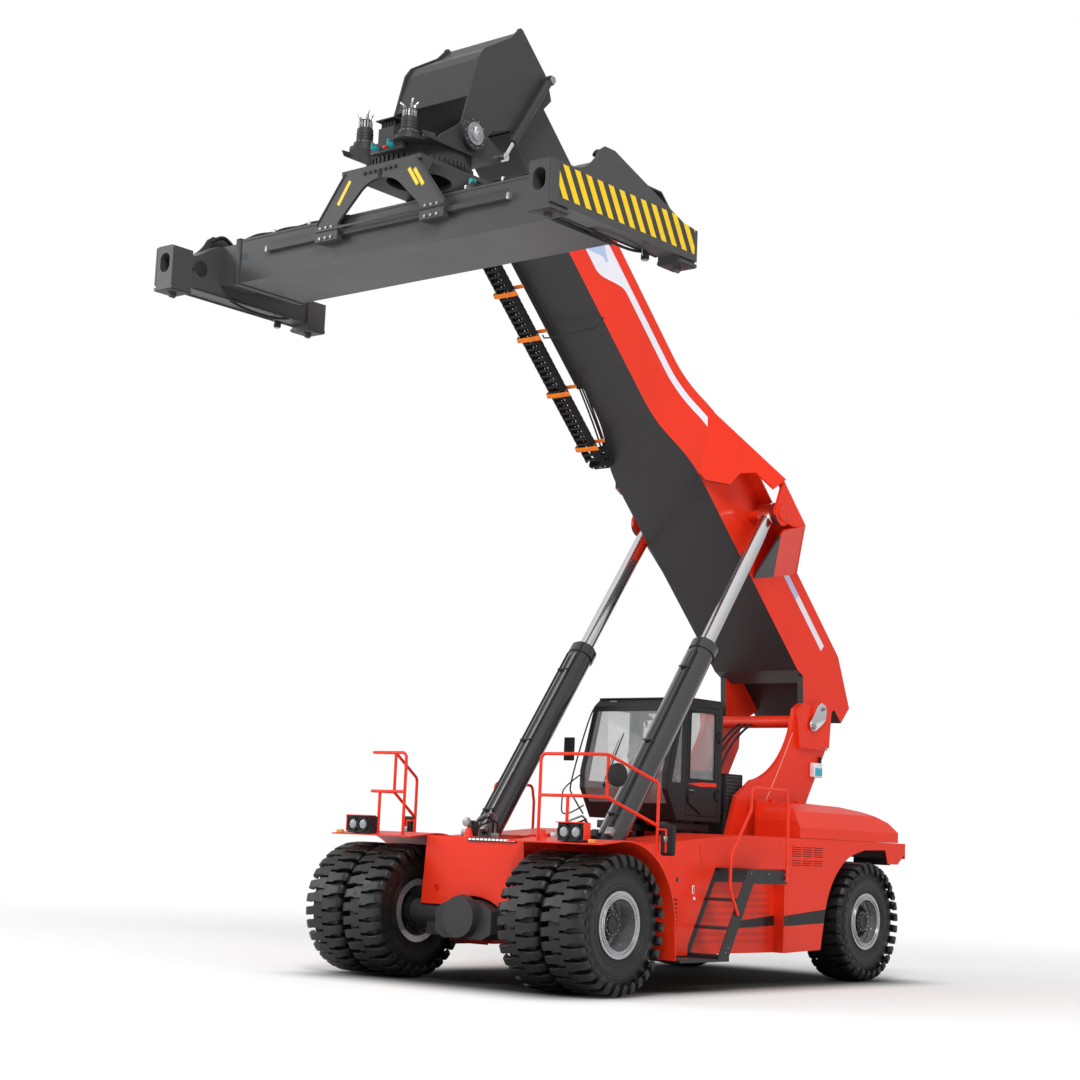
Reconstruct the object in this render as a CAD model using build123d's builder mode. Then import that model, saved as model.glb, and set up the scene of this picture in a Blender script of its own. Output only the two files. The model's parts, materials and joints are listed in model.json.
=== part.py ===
from build123d import *
import os
from math import asin, atan2, cos, degrees, hypot, pi, radians, sin, sqrt, tan

# Reach stacker, parked with its boom raised. Millimetres. +Z up, the machine drives towards -Y,
# its left side is +X, and the ground is Z = 0 under the middle of its bounding box.

os.makedirs("parts", exist_ok=True)

# ---------------------------------------------------------------- driving dimensions
# Chassis. Stations along the machine are counted from the front axle, positive rearwards.
wheelbase = 6050
tyre_radius = 790
tyre_width = 500
bead_radius = 320
twin_spacing = 620
front_outer_face = 2075
rear_track = 2760
hub_flange_radius = 215
beam_inner_x = 480
beam_outer_x = 700
body_half_width = 1600
tail_overhang = 1050
deck_height = 1690
belt_height = 1850
sill_height = 400

# Boom. Stations along it are counted from its pivot, heights square to it.
pivot_ahead_of_rear_axle = 50
pivot_height = 3580
boom_elevation = 43.2
boom_bottom = 190
boom_top = 1120
boom_front_half = 420
boom_rear_half = 690
flare_front = 5300
flare_rear = 3930
boom_mouth = 8000
boom_wall = 14
slide_gap = 36
head_pin_station = 9667
head_pin_drop = -677
nose_half = 600

# Lift cylinders.
cylinder_x = 980
cylinder_pin_station = 2910
cylinder_pin_rise = 770
cylinder_base_station = 980
cylinder_base_height = 1430
barrel_radius = 160
rod_radius = 95
eye_radius = 145
eye_half = 100

# Spreader. Its twistlocks stand at the corner pitch of a 20 ft ISO container.
corner_pitch_x = 5853
corner_pitch_y = 2260
slew_ahead = 155
tip_below_head_pin = 1745
beam_half_length = 2470
beam_half_depth = 534
beam_floor = 250
beam_roof = 800

# Cab.
cab_half_width = 700
cab_length = 1200
cab_ahead_of_rear_axle = 3380
cab_floor = 2010
cab_roof = 3560

# ---------------------------------------------------------------- derived places
slope = radians(boom_elevation)
pivot_station = wheelbase - pivot_ahead_of_rear_axle
tail_station = wheelbase + tail_overhang
tower_foot_front = wheelbase - 1925
cab_front = wheelbase - cab_ahead_of_rear_axle
cab_rear = cab_front + cab_length
side_rear = tower_foot_front - 25


def on_boom(station, rise):
    """Chassis station and height of a point on the boom."""
    along = pivot_station - station * cos(slope) + rise * sin(slope)
    return along, pivot_height + station * sin(slope) + rise * cos(slope)


head_pin_along, head_pin_z = on_boom(head_pin_station, head_pin_drop)
slew_along = head_pin_along - slew_ahead
tip_z = head_pin_z - tip_below_head_pin
head_front_reach = corner_pitch_y / 2 + 155
origin_along = (slew_along - head_front_reach + tail_station) / 2
front_axle_y = -round(origin_along)
slew_y = front_axle_y + slew_along


def side_plane(x):
    """Upright plane along the machine: local x is the station, local y the height."""
    return Plane(origin=(x, front_axle_y, 0), x_dir=(0, 1, 0), z_dir=(1, 0, 0))


def level_plane(z):
    """Level plane: local x is sideways, local y the station."""
    return Plane(origin=(0, front_axle_y, z), x_dir=(1, 0, 0), z_dir=(0, 0, 1))


def cross_plane(station):
    """Upright plane across the machine, facing forwards: local y is the height."""
    return Plane(origin=(0, front_axle_y + station, 0), x_dir=(1, 0, 0), z_dir=(0, -1, 0))


boom_pivot = Vector(0, front_axle_y + pivot_station, pivot_height)
boom_along = Vector(0, -cos(slope), sin(slope))
boom_up = Vector(0, sin(slope), cos(slope))


def boom_side(x):
    """Plane along the boom: local x is the boom station, local y the rise. It faces -X."""
    return Plane(origin=boom_pivot + Vector(x, 0, 0), x_dir=boom_along, z_dir=(-1, 0, 0))


def boom_level(rise):
    """Plane square to the boom's height: local x is -X, local y the boom station."""
    return Plane(origin=boom_pivot + boom_up * rise, x_dir=(-1, 0, 0), z_dir=boom_up)


def boom_section(station):
    """Plane across the boom: local x is X, local y the rise. It faces the boom's foot."""
    return Plane(origin=boom_pivot + boom_along * station, x_dir=(1, 0, 0), z_dir=boom_along * -1)


def spread_level(rise):
    """Level plane through the slew axis, at a height over the twistlock tips."""
    return Plane(origin=(0, slew_y, tip_z + rise), x_dir=(1, 0, 0), z_dir=(0, 0, 1))


def spread_side(x):
    """Upright plane across the spreader: local x is Y from the slew axis, local y the height."""
    return Plane(origin=(x, slew_y, tip_z), x_dir=(0, 1, 0), z_dir=(1, 0, 0))


def spread_front(y):
    """Upright plane along the spreader, facing forwards: local x is X, local y the height."""
    return Plane(origin=(0, slew_y + y, tip_z), x_dir=(1, 0, 0), z_dir=(0, -1, 0))


# ================================================================ chassis
plate = 30
beam_top = 1500
beam_low = 520
beam_front = -120
axle_seat = 1060
beam_drop_rear = wheelbase - 1350
beam_end = wheelbase - 930
rear_frame_front = wheelbase - 1050
rear_frame_half = 450
rear_frame_end = wheelbase + 450
member_plate = 40
front_plate_half = 750
front_plate_skirt = 800
front_plate_low = 890
front_arch_half = 430
front_arch_height = 1010
tow_hole_x = 560
tow_hole_z = 1080
tow_hole_radius = 38
deck_rear = 1070
apron_low = 1300
lug_thickness = 35
trunnion_height = 850
trunnion_ahead = 270
trunnion_behind = 390
trunnion_radius = 70
tower_inner = 700
tower_plate = 60
tower_boss = 50
pivot_pin_radius = 70
base_pin_radius = 62
seat_gap = 0.3
head_outer = tower_inner + tower_plate + tower_boss
tower_foot_rear = wheelbase - 850
tower_foot_low = 900
cross_tube_station = pivot_station - 410
cross_tube_height = pivot_height - 140
cross_tube_radius = 85
pin_plate_radius = 150
rail_x = 500
rail_front = cab_front - 1170
rail_length = cab_length + 1280
rail_height = 60
rail_width = 80
cab_deck_front = 1040
cab_deck_rear = side_rear
deck_plate = 20
belly_deck = 1640

with BuildPart() as chassis_frame:
    # Two deep box beams, raised over the drive axle.
    for edge in (beam_inner_x, -beam_outer_x):
        with BuildSketch(side_plane(edge)):
            with BuildLine():
                Polyline(
                    (beam_front, axle_seat), (420, axle_seat), (760, beam_low), (beam_drop_rear, beam_low),
                    (beam_end, axle_seat), (beam_end, beam_top), (beam_front, beam_top), close=True)
            make_face()
        extrude(amount=beam_outer_x - beam_inner_x)
    # Narrow rear frame between the steered wheels.
    with BuildSketch(side_plane(-rear_frame_half)):
        with BuildLine():
            Polyline(
                (rear_frame_front, axle_seat), (rear_frame_end, axle_seat), (rear_frame_end, beam_top),
                (rear_frame_front, beam_top), close=True)
        make_face()
    extrude(amount=2 * rear_frame_half)
    # Cross members.
    for station in (520, 2100, 3600, rear_frame_front - 20):
        with BuildSketch(cross_plane(station)):
            with Locations((0, (axle_seat + beam_top) / 2 - 50)):
                Rectangle(2 * beam_inner_x, beam_top - axle_seat)
        extrude(amount=member_plate)
    # Front plate: a trapezoid with an arched lower edge and two tow holes.
    with BuildSketch(cross_plane(beam_front)):
        with BuildLine():
            Line((-front_plate_half, belly_deck), (front_plate_half, belly_deck))
            Line((front_plate_half, belly_deck), (front_plate_skirt, front_plate_low))
            Line((front_plate_skirt, front_plate_low), (front_arch_half, front_plate_low))
            ThreePointArc(
                (front_arch_half, front_plate_low), (0, front_arch_height),
                (-front_arch_half, front_plate_low))
            Line((-front_arch_half, front_plate_low), (-front_plate_skirt, front_plate_low))
            Line((-front_plate_skirt, front_plate_low), (-front_plate_half, belly_deck))
        make_face()
        with Locations((-tow_hole_x, tow_hole_z), (tow_hole_x, tow_hole_z)):
            Circle(tow_hole_radius, mode=Mode.SUBTRACT)
    extrude(amount=plate)
    # Deck between the two front platforms, with an apron down each side of it.
    with BuildSketch(level_plane(belly_deck)):
        with Locations((0, (deck_rear + beam_front - plate) / 2)):
            Rectangle(2 * front_plate_half, deck_rear - beam_front + plate)
    extrude(amount=deck_height - belly_deck)
    for edge in (-front_plate_half, front_plate_half - plate):
        with BuildSketch(side_plane(edge)):
            with BuildLine():
                Polyline(
                    (beam_front, apron_low), (deck_rear, apron_low), (deck_rear, belly_deck),
                    (beam_front, belly_deck), close=True)
            make_face()
        extrude(amount=plate)
    # Floor over the beams.
    with BuildSketch(level_plane(beam_top)):
        with Locations((0, (beam_end + 940) / 2)):
            Rectangle(2 * beam_outer_x, beam_end - 940)
    extrude(amount=member_plate)
    # Lift cylinder seats: a pair of lugs outside each beam on a shelf, joined by the base pin.
    lug_inner = cylinder_x - barrel_radius - 45
    lug_outer = cylinder_x + barrel_radius + 10
    for lug in (lug_inner, lug_outer):
        for edge in (lug, -lug - lug_thickness):
            with BuildSketch(side_plane(edge)):
                with BuildLine():
                    Polyline(
                        (cylinder_base_station - 220, cylinder_base_height - 250),
                        (cylinder_base_station + 360, cylinder_base_height - 250),
                        (cylinder_base_station + 360, cylinder_base_height - 100),
                        (cylinder_base_station + 160, cylinder_base_height + 130),
                        (cylinder_base_station - 160, cylinder_base_height + 130),
                        (cylinder_base_station - 220, cylinder_base_height - 10), close=True)
                make_face()
            extrude(amount=lug_thickness)
    for edge in (beam_outer_x, -lug_outer - lug_thickness):
        with BuildSketch(side_plane(edge)):
            with Locations((cylinder_base_station + 70, cylinder_base_height - 270)):
                Rectangle(580, member_plate)
        extrude(amount=lug_outer + lug_thickness - beam_outer_x)
    for edge in (lug_inner, -lug_outer - lug_thickness):
        with BuildSketch(side_plane(edge)):
            with Locations((cylinder_base_station, cylinder_base_height)):
                Circle(base_pin_radius)
        extrude(amount=lug_outer + lug_thickness - lug_inner)
    # Steer axle trunnion lugs under the rear frame.
    for station in (wheelbase - trunnion_ahead, wheelbase + trunnion_behind):
        with BuildSketch(cross_plane(station)):
            with BuildLine():
                Polyline(
                    (-220, axle_seat), (-130, trunnion_height - 90), (130, trunnion_height - 90),
                    (220, axle_seat),
                    close=True)
            make_face()
            with Locations((0, trunnion_height)):
                Circle(trunnion_radius + seat_gap, mode=Mode.SUBTRACT)
        extrude(amount=50)
    # Tower: two leaning plates with thick heads, tied by a cross tube at the front.
    for edge, boss in ((tower_inner, tower_inner + tower_plate), (-tower_inner - tower_plate, -head_outer)):
        with BuildSketch(side_plane(edge)):
            with BuildLine():
                Polyline(
                    (tower_foot_rear, tower_foot_low), (tower_foot_front, tower_foot_low),
                    (tower_foot_front, 1858),
                    (tower_foot_front - 175, 1858), (tower_foot_front + 25, 2370),
                    (tower_foot_front + 375, 2590))
                ThreePointArc(
                    (tower_foot_front + 375, 2590), (pivot_station - 880, pivot_height - 690),
                    (pivot_station - 540, pivot_height - 130))
                Polyline(
                    (pivot_station - 540, pivot_height - 130), (pivot_station - 500, pivot_height + 40),
                    (pivot_station - 350, pivot_height + 120), (pivot_station + 380, pivot_height + 80),
                    (pivot_station + 330, pivot_height - 460), (pivot_station - 140, 2380),
                    (pivot_station - 550, beam_top), (tower_foot_rear, tower_foot_low))
            make_face()
        extrude(amount=tower_plate)
        with BuildSketch(side_plane(boss)):
            with BuildLine():
                Polyline(
                    (pivot_station - 440, pivot_height - 480), (pivot_station - 520, pivot_height + 30),
                    (pivot_station - 350, pivot_height + 120), (pivot_station + 380, pivot_height + 80),
                    (pivot_station + 330, pivot_height - 460), close=True)
            make_face()
        extrude(amount=tower_boss)
    with BuildSketch(side_plane(-tower_inner)):
        with Locations((cross_tube_station, cross_tube_height)):
            Circle(cross_tube_radius)
    extrude(amount=2 * tower_inner)
    # Boom pivot: a pin stub through each tower head, with its retaining plate outside.
    stub_inner = boom_rear_half - 120
    stub_outer = head_outer + 20
    for edge in (stub_inner, -stub_outer):
        with BuildSketch(side_plane(edge)):
            with Locations((pivot_station, pivot_height)):
                Circle(pivot_pin_radius)
        extrude(amount=stub_outer - stub_inner)
    for edge in (head_outer, -head_outer - 25):
        with BuildSketch(side_plane(edge)):
            with Locations((pivot_station, pivot_height)):
                Circle(pin_plate_radius)
        extrude(amount=25)
    # Box that carries the cab on its deck, with the slide rails.
    box_length = cab_deck_rear - cab_deck_front
    box_middle = (cab_deck_rear + cab_deck_front) / 2
    box_wall_height = deck_height - deck_plate - beam_top - member_plate
    box_wall_middle = beam_top + member_plate + box_wall_height / 2
    with BuildSketch(level_plane(deck_height - deck_plate)):
        with Locations((0, box_middle)):
            Rectangle(2 * beam_outer_x, box_length)
    extrude(amount=deck_plate)
    for edge in (-beam_outer_x, beam_outer_x - deck_plate):
        with BuildSketch(side_plane(edge)):
            with Locations((box_middle, box_wall_middle)):
                Rectangle(box_length, box_wall_height)
        extrude(amount=deck_plate)
    for station in (cab_deck_front + deck_plate, cab_deck_rear):
        with BuildSketch(cross_plane(station)):
            with Locations((0, box_wall_middle)):
                Rectangle(2 * beam_outer_x - 2 * deck_plate, box_wall_height)
        extrude(amount=deck_plate)
    for edge in (-rail_x - rail_width / 2, rail_x - rail_width / 2):
        with BuildSketch(side_plane(edge)):
            with Locations((rail_front + rail_length / 2, deck_height + rail_height / 2)):
                Rectangle(rail_length, rail_height)
        extrude(amount=rail_width)
chassis_frame.part.label = "chassis_frame"
export_step(chassis_frame.part, "parts/chassis_frame.step")


# ================================================================ axles and wheels
hub_end_x = front_outer_face - 210
axle_tube_radius = 150
inner_twin_x = front_outer_face - tyre_width / 2 - twin_spacing
outer_twin_x = front_outer_face - tyre_width / 2
rear_wheel_x = rear_track / 2
kingpin_x = 1080
running_gap = 0.5
spindle_radius = 90
hub_outer_radius = 195
kingpin_radius = 45
rear_spindle_radius = 65
trunnion_length = 840
steer_cylinder_half = 420
steer_cylinder_height = tyre_radius - 20

with BuildPart() as drive_axle:
    # Axle tube with its differential, round front cover and ribbed brake housings.
    with BuildSketch(side_plane(-inner_twin_x + tyre_width / 2 - 20)):
        with Locations((0, tyre_radius)):
            Circle(axle_tube_radius)
    extrude(amount=2 * (inner_twin_x - tyre_width / 2 + 20))
    with BuildSketch(cross_plane(330)):
        with BuildLine():
            Polyline(
                (-430, 590), (-300, 520), (300, 520), (430, 590), (430, 850), (300, 920), (150, 965),
                (-150, 965),
                (-300, 920), (-430, 850), close=True)
        make_face()
    extrude(amount=620)
    with BuildSketch(cross_plane(-290)):
        with Locations((0, 770)):
            Circle(255)
    extrude(amount=95, taper=12)
    for middle in (-620, 620):
        with BuildSketch(side_plane(middle - 110)):
            with Locations((75, tyre_radius)):
                Rectangle(360, 520)
        extrude(amount=220)
        with BuildSketch(level_plane(axle_seat - 40)):
            with Locations((middle - 30 if middle > 0 else middle + 30, 150)):
                Rectangle(200, 500)
        extrude(amount=40)
    # Spindles that carry the hubs.
    for edge in (-hub_end_x + 60, inner_twin_x - tyre_width / 2):
        with BuildSketch(side_plane(edge)):
            with Locations((0, tyre_radius)):
                Circle(spindle_radius)
        extrude(amount=hub_end_x - 60 - inner_twin_x + tyre_width / 2)
drive_axle.part.label = "drive_axle"
export_step(drive_axle.part, "parts/drive_axle.step")


def tyre_solid(x, station):
    """One tyre: a ring with rounded shoulders, turned about the axle."""
    half = tyre_width / 2
    with BuildPart() as tyre:
        with BuildSketch(Plane.XY):
            with BuildLine():
                Polyline((-half + 60, bead_radius), (half - 60, bead_radius))
                Line((half - 60, bead_radius), (half - 25, bead_radius + 70))
                ThreePointArc((half - 25, bead_radius + 70), (half, 560), (half - 25, tyre_radius - 90))
                ThreePointArc(
                    (half - 25, tyre_radius - 90), (half - 45, tyre_radius - 30),
                    (half - 100, tyre_radius - 8))
                ThreePointArc(
                    (half - 100, tyre_radius - 8), (0, tyre_radius), (-half + 100, tyre_radius - 8))
                ThreePointArc(
                    (-half + 100, tyre_radius - 8), (-half + 45, tyre_radius - 30),
                    (-half + 25, tyre_radius - 90))
                ThreePointArc((-half + 25, tyre_radius - 90), (-half, 560), (-half + 25, bead_radius + 70))
                Line((-half + 25, bead_radius + 70), (-half + 60, bead_radius))
            make_face()
        revolve(axis=Axis.X)
    return tyre.part.moved(Location((x, front_axle_y + station, tyre_radius)))


def rim_profile(width, inset):
    """Half section of a rim: lips, well and a dished disc. Local x is along the axle."""
    half = width / 2 - 17
    with BuildSketch(Plane.XY) as section:
        with BuildLine():
            Polyline(
                (-half, 372), (-half, 300), (inset - 18, 285), (inset - 18, hub_flange_radius - 20),
                (inset + 18, hub_flange_radius - 20), (inset + 18, 285), (half, 300), (half, 372),
                (half - 16, 372), (half - 16, bead_radius - seat_gap), (-half + 16, bead_radius - seat_gap),
                (-half + 16, 372), close=True)
        make_face()
    return section.sketch


def wheel_plane(x, axle_y, sign):
    """Level plane through a wheel's axle for its turned section: local x points outwards along the axle."""
    return Plane(origin=(x, axle_y, tyre_radius), x_dir=(sign, 0, 0), z_dir=(0, -sign, 0))


def kingpin_plane(sign, z):
    """Level plane about the kingpin of one steered wheel."""
    return Plane(origin=(sign * kingpin_x, rear_axle_y, z), x_dir=(1, 0, 0), z_dir=(0, 0, 1))


rear_axle_y = front_axle_y + wheelbase
spindle_end = rear_wheel_x + 90

# Front twin wheels: two tyres on two rims, bolted to one hub.
for side_name, sign in (("left", 1), ("right", -1)):
    twin_tyres = [tyre_solid(sign * x, 0) for x in (inner_twin_x, outer_twin_x)]
    tyres = Compound(children=twin_tyres)
    tyres.label = f"front_{side_name}_tyres"
    export_step(tyres, f"parts/front_{side_name}_tyres.step")

    with BuildPart() as rims:
        for x, inset in ((inner_twin_x, 60), (outer_twin_x, -60)):
            with BuildSketch(wheel_plane(sign * x, front_axle_y, sign)):
                add(rim_profile(tyre_width, inset))
            revolve(axis=Axis((0, front_axle_y, tyre_radius), (1, 0, 0)))
        with BuildSketch(wheel_plane(0, front_axle_y, sign)):
            with BuildLine():
                Polyline(
                    (inner_twin_x - tyre_width / 2 + 30, spindle_radius + running_gap),
                    (inner_twin_x - tyre_width / 2 + 30, hub_outer_radius),
                    (hub_end_x - 30, hub_outer_radius),
                    (hub_end_x + 60, hub_outer_radius - 45), (hub_end_x + 60, 0), (hub_end_x - 50, 0),
                    (hub_end_x - 50, spindle_radius + running_gap), close=True)
            make_face()
        revolve(axis=Axis((0, front_axle_y, tyre_radius), (1, 0, 0)))
    rims.part.label = f"front_{side_name}_rims"
    export_step(rims.part, f"parts/front_{side_name}_rims.step")

    rear_tyre = tyre_solid(sign * rear_wheel_x, wheelbase)
    rear_tyre.label = f"rear_{side_name}_tyre"
    export_step(rear_tyre, f"parts/rear_{side_name}_tyre.step")

    with BuildPart() as rear_rim:
        with BuildSketch(wheel_plane(sign * rear_wheel_x, rear_axle_y, sign)):
            add(rim_profile(tyre_width, 90))
        revolve(axis=Axis((0, rear_axle_y, tyre_radius), (1, 0, 0)))
        with BuildSketch(wheel_plane(0, rear_axle_y, sign)):
            with BuildLine():
                Polyline(
                    (rear_wheel_x - 60, rear_spindle_radius + running_gap),
                    (rear_wheel_x - 60, hub_outer_radius),
                    (spindle_end, hub_outer_radius), (spindle_end + 60, hub_outer_radius - 65),
                    (spindle_end + 60, 0),
                    (spindle_end + 10, 0), (spindle_end + 10, rear_spindle_radius + running_gap), close=True)
            make_face()
        revolve(axis=Axis((0, rear_axle_y, tyre_radius), (1, 0, 0)))
    rear_rim.part.label = f"rear_{side_name}_rim"
    export_step(rear_rim.part, f"parts/rear_{side_name}_rim.step")

    # Steering knuckle: an upright on its kingpin, with the wheel's spindle and a steering arm.
    with BuildPart() as knuckle:
        with BuildSketch(kingpin_plane(sign, tyre_radius - 118)):
            Circle(95)
            Circle(kingpin_radius + running_gap, mode=Mode.SUBTRACT)
        extrude(amount=236)
        with BuildSketch(side_plane(sign * (kingpin_x + 60))):
            with Locations((wheelbase, tyre_radius)):
                Circle(120)
        extrude(amount=sign * (rear_wheel_x - 70 - kingpin_x - 60))
        with BuildSketch(side_plane(sign * (kingpin_x + 60))):
            with Locations((wheelbase, tyre_radius)):
                Circle(rear_spindle_radius)
        extrude(amount=sign * (spindle_end - kingpin_x - 60))
        with BuildSketch(kingpin_plane(sign, tyre_radius - 60)):
            with BuildLine():
                Polyline((-sign * 10, -60), (0, -290), (sign * 55, -290), (sign * 60, -60), close=True)
            make_face()
        extrude(amount=50)
        with BuildSketch(kingpin_plane(sign, tyre_radius - 130)):
            Circle(kingpin_radius + running_gap)
        extrude(amount=260, mode=Mode.SUBTRACT)
    knuckle.part.label = f"{side_name}_steering_knuckle"
    export_step(knuckle.part, f"parts/{side_name}_steering_knuckle.step")

with BuildPart() as steer_axle:
    # Beam with a fork at each end, hung on its trunnion pin, and the steering cylinder behind it.
    with BuildSketch(side_plane(-kingpin_x + 160)):
        with Locations((wheelbase, tyre_radius)):
            Rectangle(260, 250)
    extrude(amount=2 * (kingpin_x - 160))
    for sign in (1, -1):
        for low in (tyre_radius - 190, tyre_radius + 120):
            with BuildSketch(level_plane(low)):
                with BuildLine():
                    Polyline(
                        (sign * (kingpin_x - 240), wheelbase - 120), (sign * kingpin_x, wheelbase - 105))
                    ThreePointArc(
                        (sign * kingpin_x, wheelbase - 105), (sign * (kingpin_x + 105), wheelbase),
                        (sign * kingpin_x, wheelbase + 105))
                    Polyline(
                        (sign * kingpin_x, wheelbase + 105), (sign * (kingpin_x - 240), wheelbase + 120))
                    Line(
                        (sign * (kingpin_x - 240), wheelbase + 120),
                        (sign * (kingpin_x - 240), wheelbase - 120))
                make_face()
            extrude(amount=70)
        with BuildSketch(level_plane(tyre_radius - 190)):
            with Locations((sign * kingpin_x, wheelbase)):
                Circle(kingpin_radius)
        extrude(amount=380)
        with BuildSketch(side_plane(sign * (kingpin_x - 240))):
            with Locations((wheelbase, tyre_radius)):
                Rectangle(240, 380)
        extrude(amount=sign * 100)
    with BuildSketch(cross_plane(rear_frame_end)):
        with Locations((0, trunnion_height)):
            Circle(trunnion_radius)
    extrude(amount=trunnion_length)
    with BuildSketch(side_plane(-steer_cylinder_half)):
        with Locations((wheelbase + 240, steer_cylinder_height)):
            Circle(75)
    extrude(amount=2 * steer_cylinder_half)
    for sign in (1, -1):
        with BuildSketch(side_plane(sign * 180)):
            with Locations((wheelbase + 180, steer_cylinder_height)):
                Rectangle(130, 130)
        extrude(amount=sign * 80)
steer_axle.part.label = "steer_axle"
export_step(steer_axle.part, "parts/steer_axle.step")


# ================================================================ bodywork
panel = 12
side_front = 1080
seam = 6
body_inner_x = beam_outer_x + seat_gap
tail_front = side_rear + seam
arch_low = 430
stair_front = 1950
recess_depth = 150
pocket_floor = 1080
pocket_rear = 1600
pocket_outer_x = 1235
belt_station = cab_front + 330
recess_rear = side_rear - 60
recess_top = 1446
pocket_height = 1000
hood_hinge_x = 920
hood_hinge_z = 2330
hood_front = wheelbase - 1670
hood_rear = wheelbase + 850
hood_bend = wheelbase + 250
hood_fall = wheelbase - 450
hood_tail_height = 2120
spine_wall = 24
engine_deck_front = wheelbase + 370
tail_wall_low = 1640
hood_shoulder_low = 1990
hood_axis_x = hood_hinge_x + 2
hood_axis_z = hood_hinge_z + 14
hood_pin_radius = 6
hood_knuckle = 120
hood_hinge_stations = (wheelbase - 1290, wheelbase - 650)

with BuildPart() as side_hollow:
    for sign in (1, -1):
        with BuildSketch(side_plane(sign * (body_inner_x + panel))):
            with BuildLine():
                Polyline(
                    (side_front + panel, sill_height + panel), (side_rear - panel, sill_height + panel),
                    (side_rear - panel, belt_height - panel), (belt_station, belt_height - panel),
                    (side_front + panel, deck_height - panel), close=True)
            make_face()
        extrude(amount=sign * (body_half_width - recess_depth - 2 * panel - body_inner_x))
        with BuildSketch(level_plane(pocket_floor - panel)):
            with Locations((sign * (beam_outer_x + pocket_outer_x) / 2, side_front)):
                Rectangle(pocket_outer_x - beam_outer_x + 2 * panel, 2 * (pocket_rear + panel - side_front))
        extrude(amount=pocket_height, mode=Mode.SUBTRACT)

with BuildPart() as side_bodies:
    # Tank and cupboard boxes along both sides, recessed where the stairs stand and open round the cylinders.
    for sign in (1, -1):
        with BuildSketch(side_plane(sign * body_inner_x)):
            with BuildLine():
                Polyline(
                    (side_front, sill_height), (side_rear, sill_height), (side_rear, belt_height),
                    (belt_station, belt_height), (side_front, deck_height), close=True)
            make_face()
        extrude(amount=sign * (body_half_width - body_inner_x))
        with BuildSketch(side_plane(sign * (body_half_width + 10))):
            with BuildLine():
                Polyline(
                    (stair_front, sill_height - 20), (recess_rear, sill_height - 20),
                    (recess_rear, recess_top),
                    (stair_front + 540, recess_top), (stair_front, sill_height + 120), close=True)
            make_face()
        extrude(amount=-sign * (recess_depth + 10), mode=Mode.SUBTRACT)
        with BuildSketch(level_plane(pocket_floor)):
            with Locations((sign * (beam_outer_x + pocket_outer_x) / 2, side_front)):
                Rectangle(pocket_outer_x - beam_outer_x, 2 * (pocket_rear - side_front))
        extrude(amount=pocket_height, mode=Mode.SUBTRACT)
    add(side_hollow.part, mode=Mode.SUBTRACT)
side_bodies.part.label = "side_bodies"
export_step(side_bodies.part, "parts/side_bodies.step")

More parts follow.
